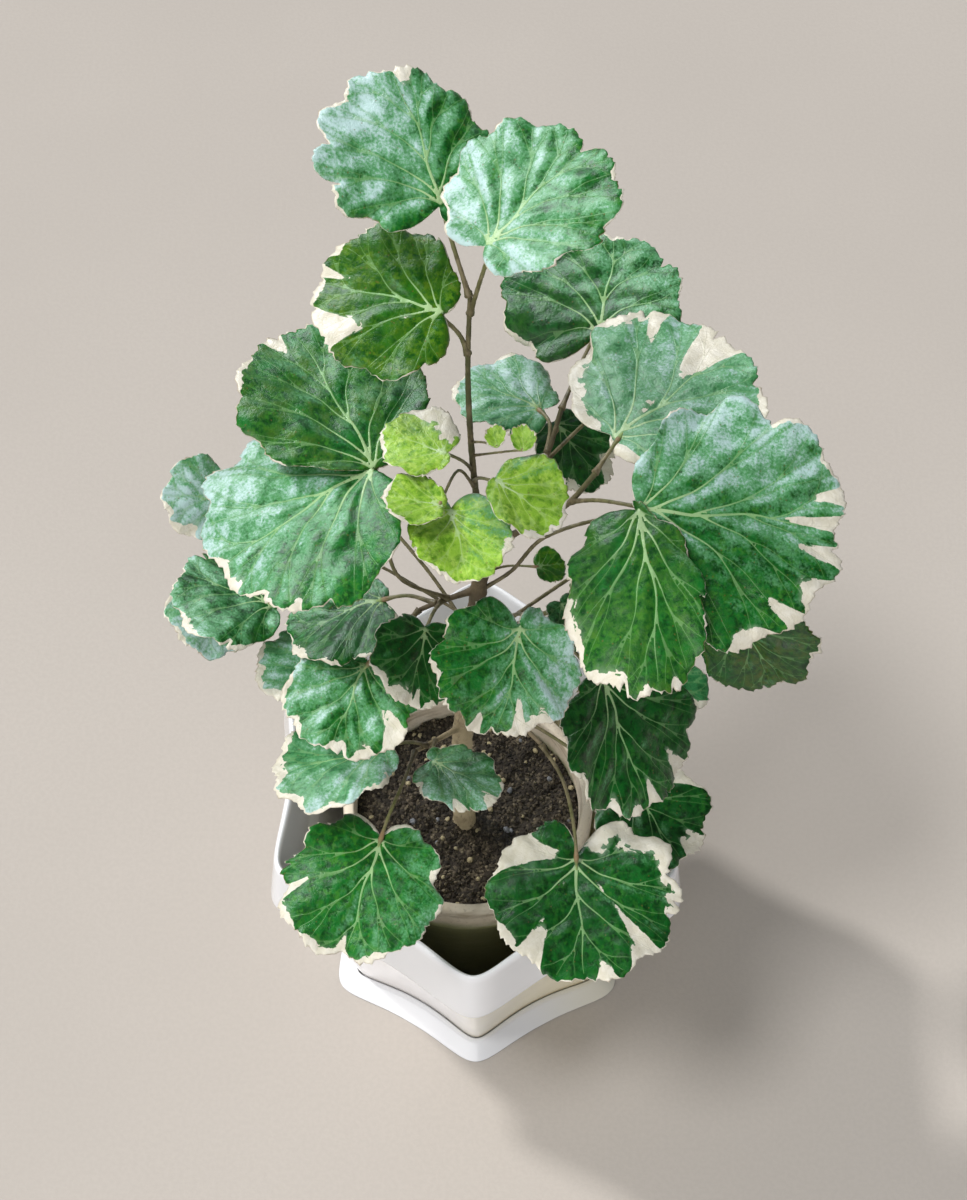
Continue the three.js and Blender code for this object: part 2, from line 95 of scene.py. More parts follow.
# Relief of a large blade, in proportion on a small one: how high, and how wide it comes up.
RELIEF = {
    "puff": 0.60, "puff_wide": 3.4, "quilt": 0.16, "quilt_wide": 1.2, "buckle": 0.45,
    "crinkle": 0.10, "frill": 0.55, "edge": 0.5, "edge_wide": 1.3,
}
CREAM_END = 0.3  # share of the way out from the stalk that stays green
CREAM_CURB = 40  # how sharply cream stops there
FOLD_PAINTED_SHEEN = 0.95  # how much painted sheen a face gets on the slopes that lean towards its pale flank

# Woody stems: radius at the first and the last point, and the points.
STEMS = [
    ((6.3, 3.4), [(-6, -9, 96), (-6.5, -8, 140), (-7, -2, 205), (-3, 2, 263), (0, 6, 315), (4, 12, 350)]),
    ((2.7, 1.6), [(3.5, 11.5, 344), (-1, 15, 394), (-3, 20, 450), (-2, 25, 494)]),
    ((2.6, 1.9), [(3.5, 11, 344), (15, 12, 356), (35, 12, 376), (47, 14, 397)]),
    ((2.4, 1.8), [(3, 11, 342), (15, 28, 356), (28, 44, 364), (35, 60, 378)]),
    ((2.3, 1.8), [(0.5, 7, 322), (-14, 2, 321), (-24, -2, 320)]),
    ((2.3, 1.8), [(-7, -2, 218), (-17, -12, 225), (-28, -22, 231)]),
    ((2.3, 1.8), [(-1, 4, 300), (14, 1, 302), (26, 0, 305)]),
    ((2.3, 1.8), [(-4, 1, 250), (12, -14, 256), (28, -32, 257)]),
]
THIN_STEM = 4.0  # radius that the trunk is over and the branches are under
STEM_SIDES = 20
STEM_STEP = 1.2
STEM_VOXEL = 0.55


class Blade(NamedTuple):
    """turn: compass direction of the tip, rise, roll about the midrib. size: radius, how far the
    middle lies ahead of the stalk and aside, and the breadth where it isn't 1. bend: droop of the
    tip, cup, fall of the left and of the right flank, wave. paleness (a pale bloom that is partly
    painted sheen): how pale the face is, how much more on one flank, and the flank's direction.
    cream: zones (direction, half width, depth) in from the edge. bronze: how brown the face is."""

    turn: tuple
    size: tuple
    bend: tuple
    milk: tuple
    cream: tuple
    seed: float = 0.0
    bronze: float = 0.0


class Leaf(NamedTuple):
    """stalk: points from the wood to short of the blade. at: where stalk and blade meet."""

    name: str
    tone: str
    seed: float
    stalk: list
    at: tuple
    blades: list


LEAVES = [
    Leaf("crown_left", "green", 1, [(-2.4, 24.8, 491.5), (-8, 32, 511)], (-12.2, 38, 525), [
        Blade((104, 27, 6), (33, 20.5, 8), (0.12, 0.05, 0.02, 0.45, 1.6), (0.46, 0.62, 50),
              ((-10, 5, 6), (36, 14, 1.1), (68, 10, 0.8), (118, 12, 0.9)))]),
    Leaf("crown_right", "green", 2, [(-2, 23.8, 483), (2, 21, 506)], (4, 16.7, 528.7), [
        Blade((43, 19, -2), (32, 22, 1), (0.1, 0.06, 0.05, 0.05, 1.4), (0.72, 0.35, 150),
              ((139, 20, 1.0), (113, 10, 0.8), (-31, 5, 1.2)))]),
    Leaf("crown_lower", "lime", 3, [(-3, 21, 463), (-6, 22, 473)], (-12, 22, 486), [
        Blade((164, 8, -20), (29, 20, 2), (0.12, 0.04, 0.04, 0.1, 1.5), (0.04, 0.08, 45),
              ((38, 14, 13), (-10, 3, 9), (6, 10, 2.2), (-28, 6, 2)), bronze=0.25)]),
    Leaf("right_back", "deep", 4, [(34.8, 59.5, 377.5), (42, 77, 381)], (50, 91, 387.5), [
        Blade((72, 20, -6), (36.5, 12.5, 6), (0.12, 0.03, 0.05, 0.22, 1.8), (0.22, 0.45, -30),
              ((135, 15, 1.6), (10, 20, 1.2)), bronze=0.15)]),
    Leaf("right_middle", "pale", 5, [(46.5, 14, 396.5), (51, 21, 398)], (54.3, 30.5, 397), [
        Blade((38, 5, -8), (41, 31, 5), (0.1, 0.06, 0.05, 0.06, 2.0), (0.55, 0.15, 20),
              ((8, 13, 24), (50, 4, 13), (72, 16, 4), (122, 20, 5), (150, 12, 6), (-52, 14, 3),
               (-160, 14, 16)))]),
    Leaf("right_big", "green", 6, [(38, 12, 380), (49, 2, 395)], (62, -10, 407), [
        Blade((-1, -5, 19), (48, 38.5, -1), (0.12, 0.03, 0.08, 0.16, 2.4), (0.50, 0.50, 80),
              ((17, 3.5, 13), (4, 3, 20), (-13, 4, 13), (-36, 9, 6), (-53, 4, 12), (-78, 10, 5),
               (60, 5, 2), (32, 8, 1.6))),
        Blade((-78, -5, 2), (38, 33, -9, 0.7), (0.22, 0.05, 0.06, 0.45, 1.4), (0.05, 0.30, 140),
              ((-39, 16, 3.6), (-79, 18, 3.2), (-9, 5, 2.5), (18, 4, 3)), 46, 0.3)]),
    Leaf("right_hanging", "deep", 7,
         [(1.5, 7, 321), (14, 8, 334), (28, 12, 354), (60, 20, 356), (98, 29, 312)], (113, 30, 270), [
             Blade((-44, -46, 60), (29, 22, 0), (0.1, 0.05, 0.1, 0.05, 1.8),
                   (0.10, 0.10, -60), ((60, 10, 1.2),), bronze=0.6)]),
    Leaf("middle_back", "pale", 8, [(29, 46, 365.5), (30, 58, 370)], (27, 66, 368), [
        Blade((152, 8, 10), (23, 16, 0), (0.14, 0.04, 0.1, 0.05, 1.2),
              (0.72, 0.30, -50), ((20, 14, 2), (-60, 10, 2)))]),
    Leaf("back_right", "deep", 9, [(18, 31, 358), (25, 52, 353)], (33, 72, 351), [
        Blade((-50, -14, -14), (20, 15, 0), (0.12, 0.04, 0.05, 0.1, 1.4),
              (0.12, 0.20, 90), ((30, 20, 5), (-40, 12, 3)))]),
    Leaf("left_big", "green", 10, [(-12, 3, 321), (-31, 0, 341), (-37, 0, 375)], (-39, 0, 419), [
        Blade((-152, -6, 4), (42, 32, 3), (0.12, 0.05, 0.08, 0.1, 2.2), (0.43, 0.50, -45),
              ((1, 8, 3), (14, 5, 4), (58, 3, 4), (36, 10, 1.6))),
        Blade((114, 12, 10), (37, 34, 3), (0.1, 0.05, 0.1, 0.06, 1.8), (0.16, 0.30, -40),
              ((16, 5, 6), (53, 14, 2)), 50, 0.4)]),
    Leaf("left_back", "pale", 11, [(-1, 4.5, 300), (-40, 24, 312), (-84, 33, 338)], (-102, 35, 347), [
        Blade((-163, 30, -32), (17, 15, 0), (0.1, 0.05, 0.05, 0.05, 1.0),
              (0.95, 0.10, 60), ((60, 20, 4), (20, 12, 2)))]),
    Leaf("left_dark", "deep", 12, [(-2.5, 2.2, 272), (-40, 12, 282), (-72, 15, 292)], (-88, 15, 295), [
        Blade((160, 16, 12), (28, 17, 2), (0.12, 0.03, 0.1, 0.05, 1.8), (0.30, 0.35, 45),
              ((60, 16, 2.6), (110, 12, 1.6), (-60, 12, 1.4)))]),
    Leaf("left_far", "pale", 13, [(-4, 3, 262), (-50, 28, 262), (-96, 35, 276)], (-112, 35, 280), [
        Blade((-100, 5, -30), (20, 17, -2), (0.12, 0.05, 0.05, 0.1, 1.2),
              (0.72, 0.40, 10), ((-90, 15, 2), (-30, 15, 1.6)))]),
    Leaf("left_middle", "deep", 14, [(-17, 0.8, 320.5), (-29, 5, 320)], (-39, 5, 317), [
        Blade((-164, 1, 9), (25, 19, 4), (0.14, 0.05, 0.06, 0.06, 1.5), (0.32, 0.50, -100),
              ((22, 12, 3), (60, 10, 1.8), (100, 8, 1.4), (150, 8, 1.6)))]),
    Leaf("left_pale", "pale", 15, [(-4, 2, 256), (-30, 6, 264), (-52, 8, 272)], (-64, 5, 275), [
        Blade((-130, 14, -16), (21, 17, 0), (0.1, 0.05, 0.06, 0.06, 1.3), (0.62, 0.30, 0),
              ((-30, 14, 3), (0, 12, 4), (-60, 10, 2)))]),
    Leaf("front_left", "green", 16, [(-24, -2, 320), (-34, -12, 317)], (-46, -22, 310), [
        Blade((-110, 4, -6), (27, 18, 1), (0.16, 0.06, 0.08, 0.1, 1.8), (0.54, 0.15, -90),
              ((5, 10, 3), (30, 10, 4), (62, 11, 9), (-40, 10, 2), (-75, 14, 2)))]),
    Leaf("front_dark", "deep", 17, [(-15, 1.5, 321), (-18, -9, 329)], (-21, -20, 336), [
        Blade((-98, -12, -34), (21, 14, 0), (0.12, 0.05, 0.06, 0.12, 1.2), (0.08, 0.10, 45),
              ((-15, 20, 5), (-50, 14, 3), (25, 8, 2), (10, 4, 7)))]),
    Leaf("front_middle", "green", 18, [(9, 2, 301.5), (16, -14, 336), (18, -32, 362)], (17, -38, 366), [
        Blade((-96, -26, -24), (30, 16, -4), (0.14, 0.06, 0.1, 0.1, 1.8), (0.52, 0.45, 90),
              ((17, 5, 12), (22, 15, 4), (-18, 5, 6), (40, 5, 5), (-80, 8, 2)))]),
    Leaf("front_side", "pale", 19, [(-23, -17.5, 228.5), (-30, -24, 244)], (-39, -32, 256), [
        Blade((-163, 3, 9), (30, 24, 1, 0.82), (0.1, 0.05, 0.1, 0.06, 1.5), (0.58, 0.35, 100),
              ((-10, 20, 4), (30, 16, 3), (-45, 14, 2.5), (70, 14, 2.5), (120, 14, 2)))]),
    Leaf("front_small", "green", 20, [(-19, -14, 226.5), (-20, -24, 234)], (-20, -30, 237), [
        Blade((-24, 2, -11), (21, 14, -3, 0.86), (0.12, 0.06, 0.06, 0.08, 1.0), (0.62, 0.15, -60),
              ((-14, 9, 7), (-62, 8, 4.5), (20, 6, 2), (-130, 10, 2)))]),
    Leaf("low_left", "green", 21, [(-28, -22, 231), (-32, -40, 239), (-39, -58, 237)], (-42, -66, 233), [
        Blade((-105, 0, -1), (35.5, 22.5, -2), (0.14, 0.06, 0.1, 0.1, 2.0), (0.18, 0.35, 90),
              ((-68, 5, 9), (-50, 10, 3), (-15, 16, 3), (-2, 3, 6), (22, 10, 2.5), (112, 6, 2.5),
               (85, 5, 2), (165, 10, 2), (-165, 8, 2.5)))]),
    Leaf("low_right", "deep", 22, [(28, -32, 257), (37, -46, 251), (43, -60, 226)], (44, -66, 213), [
        Blade((-90, 2, -4), (42, 17, 4), (0.14, 0.06, 0.1, 0.12, 2.2), (0.10, 0.15, 150),
              ((-122, 14, 22), (135, 26, 9), (90, 14, 3.5), (43, 5, 22), (38, 9, 6), (-38, 7, 16),
               (-55, 10, 3), (12, 5, 6)))]),
    Leaf("right_low", "deep", 23, [(26, 0, 305), (38, -11, 307)], (52, -25, 304), [
        Blade((-66, -32, -24), (35, 28, 4), (0.1, 0.05, 0.08, 0.1, 2.0), (0.05, 0.05, 0),
              ((42, 6, 9), (4, 4, 11), (-32, 5, 4), (-70, 14, 1.6), (-12, 4, 4)))]),
    Leaf("right_pale", "deep", 24, [(-5, 0, 238), (24, -4, 224), (52, -18, 212)], (67, -25, 204), [
        Blade((-48, -10, -3), (28, 19, 0), (0.14, 0.05, 0.08, 0.08, 1.8), (0.10, 0.15, -90),
              ((110, 26, 12), (18, 12, 7), (-70, 14, 5)))]),
    Leaf("right_edge", "pale", 25, [(24, 0.5, 304.5), (52, 14, 272), (72, 20, 238)], (82, 20, 227), [
        Blade((-20, -16, -5), (15, 13, 0), (0.1, 0.05, 0.06, 0.06, 0.8),
              (0.05, 0.05, -60), ((-20, 20, 4),))]),
    Leaf("small_dark", "deep", 26, [(15, 0.9, 302.3), (27, 1, 312)], (35, 2, 319), [
        Blade((-49, -22, -16), (14, 10, 0), (0.1, 0.05, 0.06, 0.06, 0.5),
              (0.30, 0.20, -110), ((40, 14, 2),))]),
    Leaf("small_lime", "lime", 37, [(2.5, 9.5, 331), (13, 14, 329)], (25, 12, 331), [
        Blade((20, -8, 12), (8, 6, 0), (0.2, 0.1, 0.1, 0.1, 0.4), (0.10, 0.10, 90), ())]),
    Leaf("hidden_left", "deep", 27, [(-2, 4, 290), (-24, 34, 300), (-46, 56, 308)], (-56, 62, 308), [
        Blade((170, -4, 6), (26, 16, 0), (0.14, 0.05, 0.08, 0.08, 1.4), (0.30, 0.20, 40),
              ((40, 14, 5), (-30, 8, 3), (-100, 14, 3)))]),
    Leaf("hidden_right", "green", 28, [(10, 1.7, 301.5), (50, 34, 300), (80, 55, 303)], (89, 58, 302), [
        Blade((10, -6, 2), (28, 20, 0), (0.14, 0.05, 0.08, 0.08, 1.6), (0.20, 0.20, 60),
              ((-30, 12, 7), (30, 6, 9), (90, 16, 3)))]),
    Leaf("hidden_back", "green", 29, [(24, 39, 362), (46, 66, 360), (57, 80, 356)], (64, 86, 352), [
        Blade((50, -12, 0), (27, 18, 0), (0.14, 0.05, 0.08, 0.08, 1.5), (0.30, 0.20, 60),
              ((12, 8, 8), (-60, 12, 4), (80, 10, 3)))]),
    Leaf("hidden_low", "green", 30, [(-4, 1, 246), (22, 34, 250), (44, 44, 246)], (54, 46, 240), [
        Blade((40, -8, 0), (27, 19, 0), (0.14, 0.05, 0.08, 0.08, 1.5), (0.15, 0.20, 60),
              ((-20, 8, 9), (50, 14, 4), (-100, 12, 5)))]),
    Leaf("young_top", "young", 31, [(-1.6, 15.6, 397), (-6, 8, 414)], (-11, 2, 427), [
        Blade((164, 2, 3), (16, 11, -1), (0.1, 0.1, 0.02, 0.02, 1.0),
              (0.12, 0.12, -120), ((-100, 40, 7), (20, 20, 1.4)))]),
    Leaf("young_left", "young", 32, [(-1, 14, 388), (-7, 5, 411)], (-12, -20.3, 424), [
        Blade((172, 9, 10), (13, 11, 1), (0.1, 0.12, 0, 0, 0.8),
              (0.05, 0.05, 0), ((0, 30, 1.4), (60, 20, 1.4)))]),
    Leaf("young_middle", "young", 33, [(-0.2, 13.2, 381), (-1, -6, 396)], (-9.5, -15.5, 415), [
        Blade((-80, -2, -4), (20, 12, 2), (0.12, 0.08, 0, 0, 1.0),
              (0.28, 0.45, 120), ((-30, 20, 1.4), (60, 14, 2.5)))]),
    Leaf("young_right", "young", 34, [(-0.8, 14.6, 391), (2, 3, 409)], (7, -8, 424), [
        Blade((-34, -16, -3), (17, 14, 3), (0.1, 0.08, 0, 0, 1.0),
              (0.22, 0.30, 160), ((0, 30, 1.4), (-45, 12, 2.6)))]),
    Leaf("bud_left", "young", 35, [(-2, 17.2, 413), (3, 9, 424)], (8, 0, 433), [
        Blade((104, 10, 0), (4, 4, 0), (0, 0.3, 0, 0, 0.3), (0.05, 0.0, 0), ())]),
    Leaf("bud_right", "young", 36, [(-1.8, 16.4, 405), (9, 8, 419)], (17.5, 0.5, 430), [
        Blade((86, 10, 0), (4.8, 4.4, 0), (0, 0.3, 0, 0, 0.3), (0.05, 0.0, 0), ())]),
]

# Leaf colours, linear: shade, body, mottle.
TONES = {
    "green": ((0.002, 0.058, 0.006), (0.006, 0.148, 0.017), (0.040, 0.210, 0.016)),
    "deep": ((0.001, 0.038, 0.004), (0.003, 0.100, 0.011), (0.018, 0.145, 0.012)),
    "pale": ((0.008, 0.105, 0.026), (0.030, 0.200, 0.062), (0.075, 0.275, 0.085)),
    "lime": ((0.004, 0.068, 0.001), (0.016, 0.135, 0.003), (0.080, 0.205, 0.004)),
    "young": ((0.095, 0.255, 0.008), (0.250, 0.480, 0.032), (0.430, 0.650, 0.100)),
}

# The other colours, linear, by finish.
PALETTE = {
    "vein": (0.250, 0.470, 0.190), "vein foot": (0.42, 0.60, 0.30),
    "young vein": (0.46, 0.68, 0.26), "young vein foot": (0.56, 0.72, 0.42),
    # The milky green is a pale bloom that is partly painted sheen, and the bluish white over it is painted
    # sheen.
    "milk": (0.115, 0.355, 0.155), "painted sheen": (0.480, 0.660, 0.660), "bronze": (0.085, 0.085, 0.006),
    "cream": (0.770, 0.735, 0.640), "dull cream": (0.67, 0.63, 0.51),
    "vein in cream": (0.52, 0.56, 0.32), "grey green": (0.21, 0.34, 0.20),
    "brown lip": (0.22, 0.13, 0.045), "leaf speck": (0.16, 0.085, 0.02),

    "underside": (0.20, 0.33, 0.17), "underside net": (0.33, 0.46, 0.24),
    "underside vein": (0.42, 0.54, 0.25), "underside cream": (0.70, 0.66, 0.48),

    "stalk foot": (0.095, 0.075, 0.036), "stalk end": (0.165, 0.170, 0.062),
    "stalk patch": (0.26, 0.215, 0.125), "stalk streak": (0.070, 0.050, 0.028),
    "callus": (0.36, 0.21, 0.12), "midrib green": (0.30, 0.43, 0.15),

    "cork": (0.56, 0.46, 0.29), "brown bark": (0.105, 0.075, 0.043),
    "olive bark": (0.085, 0.085, 0.034), "bark blotch": (0.26, 0.20, 0.12),
    "fissure": (0.050, 0.036, 0.022),

    "milky glaze": (0.850, 0.855, 0.890), "clear glaze": (0.880, 0.885, 0.915),
    # The body's cream below its band, a yellower painted shade on its right, and a painted shade on the
    # saucer's right.
    "body cream": (0.88, 0.83, 0.79), "body painted shade": (0.90, 0.79, 0.50),
    "saucer painted shade": (0.74, 0.70, 0.56), "kiln speck": (0.28, 0.24, 0.19),

    "clay": (0.66, 0.56, 0.43), "lime bloom": (0.88, 0.79, 0.66), "earth stain": (0.34, 0.25, 0.15),
    # The darkest clay colour is a painted shade low in the planter.
    "clay grit": (0.23, 0.17, 0.11), "green film": (0.150, 0.185, 0.055),
    "painted gap shade": (0.060, 0.065, 0.028),

    "paper": (0.458, 0.420, 0.384), "light paper": (0.483, 0.443, 0.405),
    "paper tooth": (0.428, 0.390, 0.356),
}


# Small numeric helpers.


def draw(k, seed):
    """A repeatable value from 0 to 1 for item k of a thing with this seed."""
    value = np.sin(np.asarray(k) * 127.1 + seed * 311.7) * 43758.5453
    return value - np.floor(value)


def bell(away, width):
    """1 in the middle of a rounded bump, and falling off on both sides of it."""
    return np.exp(-((away / width) ** 2))


def unit(vector):
    return vector / np.linalg.norm(vector)


def run_length(path):
    """Distance along a path to each of its points."""
    return np.concatenate([[0], np.cumsum(np.linalg.norm(np.diff(path, axis=0), axis=1))])


def smooth_path(points, step):
    """Points about step apart on a centripetal curve through the given ones."""
    p = np.array(points, float)
    p = np.vstack([2 * p[0] - p[1], p, 2 * p[-1] - p[-2]])
    out = []
    for i in range(1, len(p) - 2):
        a, b, c, d = p[i - 1:i + 3]
        ka, kb, kc = (max(1e-6, np.linalg.norm(v) ** 0.5) for v in (b - a, c - b, d - c))
        m1 = ((b - a) / ka - (c - a) / (ka + kb) + (c - b) / kb) * kb
        m2 = ((c - b) / kb - (d - b) / (kb + kc) + (d - c) / kc) * kb
        count = max(2, int(np.linalg.norm(c - b) / step))
        t = np.linspace(0, 1, count, endpoint=False)[:, None]
        out.append((2 * t**3 - 3 * t**2 + 1) * b + (t**3 - 2 * t**2 + t) * m1
                   + (3 * t**2 - 2 * t**3) * c + (t**3 - t**2) * m2)
    return np.vstack(out + [p[-2:-1]])


# Meshes.


def make_object(name, verts, faces, materials, material_of=None, smooth=True):
    """A mesh object from points in millimetres; material_of gives each face's material number."""
    mesh = bpy.data.meshes.new(name)
    mesh.from_pydata((np.asarray(verts, float) * MM).tolist(), [], faces)
    for material in materials:
        mesh.materials.append(material)
    if material_of is not None:
        mesh.polygons.foreach_set("material_index", np.asarray(material_of, np.int32))
    if smooth:
        mesh.shade_smooth()
    mesh.update()
    obj = bpy.data.objects.new(name, mesh)
    bpy.context.scene.collection.objects.link(obj)
    return obj


def make_plain(obj):
    """Gives an object what its modifiers make of it as its own mesh, and removes them."""
    view = bpy.context.evaluated_depsgraph_get()
    mesh = bpy.data.meshes.new_from_object(obj.evaluated_get(view), depsgraph=view)
    obj.modifiers.clear()
    old, obj.data = obj.data, mesh
    bpy.data.meshes.remove(old)
    return obj


def store(obj, name, values):
    """Writes one number or one vector for each point of the mesh."""
    values = np.asarray(values, np.float32)
    kind, field = ("FLOAT", "value") if values.ndim == 1 else ("FLOAT_VECTOR", "vector")
    obj.data.attributes.new(name, kind, "POINT").data.foreach_set(field, values.ravel())


def ring_points(reach, angle, height, middle=(0.0, 0.0)):
    """Points of a level ring, by their distance and direction from its middle."""
    x, y = middle[0] + reach * np.cos(angle), middle[1] + reach * np.sin(angle)
    return np.column_stack([x, y, height + np.zeros_like(x)])


def between(low, high, count):
    """Quads between two rings of as many points, from the numbers of their first points."""
    return [[low + j, low + (j + 1) % count, high + (j + 1) % count, high + j] for j in range(count)]


def turned_faces(rows, count):
    """Faces of a turned body, whose first and last rows are single points on its axis."""
    end = 1 + (rows - 2) * count
    last = end - count
    faces = [[0, 1 + (j + 1) % count, 1 + j] for j in range(count)]
    for first in range(1, last, count):
        faces += between(first, first + count, count)
    return faces + [[last + j, last + (j + 1) % count, end] for j in range(count)]


def tube(path, radii, sides):
    """Points and faces of a closed tube along a path, with a radius at each point of it."""
    path = np.asarray(path, float)
    tangent = np.gradient(path, axis=0)
    tangent /= np.linalg.norm(tangent, axis=1)[:, None]
    side = np.cross(tangent[0], (0.0, 0.0, 1.0) if abs(tangent[0][2]) < 0.9 else (1.0, 0.0, 0.0))
    turn = np.linspace(0, 2 * math.pi, sides, endpoint=False)[:, None]
    rings = []
    for point, along, radius in zip(path, tangent, radii):
        side = unit(side - along * side.dot(along))
        rings.append(point + radius * (np.cos(turn) * side + np.sin(turn) * np.cross(along, side)))
    last = (len(rings) - 1) * sides
    faces = [quad for first in range(0, last, sides) for quad in between(first, first + sides, sides)]
    faces.append(list(range(sides - 1, -1, -1)))
    faces.append(list(range(last, last + sides)))
    return np.vstack(rings), faces


def joined(bodies):
    """Points and faces of several bodies as those of one mesh."""
    faces, start = [], 0
    for verts, polygons in bodies:
        faces.extend([[i + start for i in polygon] for polygon in polygons])
        start += len(verts)
    return np.vstack([verts for verts, _ in bodies]), faces


# Nodes.


class Field:
    """A number at each point of a surface, worked out by the material's nodes."""

    def __init__(self, tree, socket):
        self.tree, self.socket = tree, socket

    def worked(self, operation, other):
        made = add(self.tree, "ShaderNodeMath", {0: self, 1: other}, operation=operation)
        return Field(self.tree, made.outputs[0])

    def __add__(self, other):
        return self.worked("ADD", other)

    def __sub__(self, other):
        return self.worked("SUBTRACT", other)

    def __mul__(self, other):
        return self.worked("MULTIPLY", other)

    def at_most(self, other):
        return self.worked("MINIMUM", other)

    def step(self, low, high, start=0.0, end=1.0):
        """Going from low to high, a smooth step from start to end."""
        made = add(self.tree, "ShaderNodeMapRange",
                   {"Value": self, "From Min": low, "From Max": high, "To Min": start, "To Max": end},
                   interpolation_type="SMOOTHSTEP")
        return Field(self.tree, made.outputs["Result"])


def feed(tree, socket, value):
    """Links a field or another node's output to a socket, or sets the socket's own value."""
    if isinstance(value, Field):
        value = value.socket
    if isinstance(value, bpy.types.NodeSocket):
        tree.links.new(value, socket)
    else:
        socket.default_value = value


def add(tree, kind, inputs=None, **settings):
    """A node, with what its named or numbered inputs are fed."""
    made = tree.nodes.new(kind)
    for key, value in settings.items():
        setattr(made, key, value)
    for key, value in (inputs or {}).items():
        feed(tree, made.inputs[key], value)
    return made


class Finish:
    """A material in the making: fields to paint by, and coats of colour laid one over another.
    Patterns on a blade lie in its own flat plane, in millimetres, and all others in the object's
    space, in metres."""

    def __init__(self, name, colour, blade=False):
        self.material = bpy.data.materials.new(name)
        self.material.use_nodes = True
        self.tree = self.material.node_tree
        self.shader = self.tree.nodes["Principled BSDF"]
        self.colour = colour
        self.dimensions = "2D" if blade else "3D"
        if blade:
            self.place = add(self.tree, "ShaderNodeAttribute", attribute_name="blade").outputs["Vector"]
        else:
            self.place = add(self.tree, "ShaderNodeTexCoord").outputs["Object"]

    def field(self, output, kind, inputs=None, **settings):
        return Field(self.tree, add(self.tree, kind, inputs, **settings).outputs[output])

    def mark(self, name):
        """What the mesh says at each of its points."""
        return self.field("Fac", "ShaderNodeAttribute", attribute_name=name)

    def axis(self, name):
        return self.field(name, "ShaderNodeSeparateXYZ", {"Vector": self.place})

    def noise(self, scale, detail=3.0, rough=0.55, distortion=0.0, squeeze=None):
        place = self.place
        if squeeze:
            place = add(self.tree, "ShaderNodeMapping", {"Vector": place, "Scale": squeeze}).outputs[0]
        return self.field(0, "ShaderNodeTexNoise", {"Vector": place, "Scale": scale, "Detail": detail,
                                                    "Roughness": rough, "Distortion": distortion})

    def cells(self, scale, place, channel=0):
        """Cells strewn at random: distance from the middle of each, and a number of its own."""
        made = add(self.tree, "ShaderNodeTexVoronoi", {"Vector": place, "Scale": scale},
                   feature="F1", voronoi_dimensions=self.dimensions)
        number = self.field(channel, "ShaderNodeSeparateColor", {"Color": made.outputs["Color"]})
        return Field(self.tree, made.outputs["Distance"]), number

    def net(self, scale, place):
        """Distance from the borders of such cells."""
        return self.field("Distance", "ShaderNodeTexVoronoi",
                          {"Vector": place, "Scale": scale, "Randomness": 0.9},
                          feature="DISTANCE_TO_EDGE", voronoi_dimensions=self.dimensions)

    def blend(self, amount, *colours):
        """The first colour going over to the second; each is a name, three numbers or an output."""
        first, second = (PALETTE[c] if isinstance(c, str) else c for c in colours)
        first, second = ((*c, 1) if isinstance(c, tuple) else c for c in (first, second))
        return add(self.tree, "ShaderNodeMix", {0: amount, 6: first, 7: second},
                   data_type="RGBA").outputs[2]

    def coat(self, amount, colour):
        """Lays a colour over what is there."""
        self.colour = self.blend(amount, self.colour, colour)

    def done(self, roughness, relief, strength, tall, **sockets):
        """The material, with its colour, roughness and relief; tall is in millimetres."""
        normal = self.field("Normal", "ShaderNodeBump",
                            {"Height": relief, "Strength": strength, "Distance": tall * MM})
        sockets.update({"Base Color": self.colour, "Roughness": roughness, "Normal": normal})
        for name, value in sockets.items():
            feed(self.tree, self.shader.inputs[name.replace("_", " ")], value)
        return self.material


# Finishes.


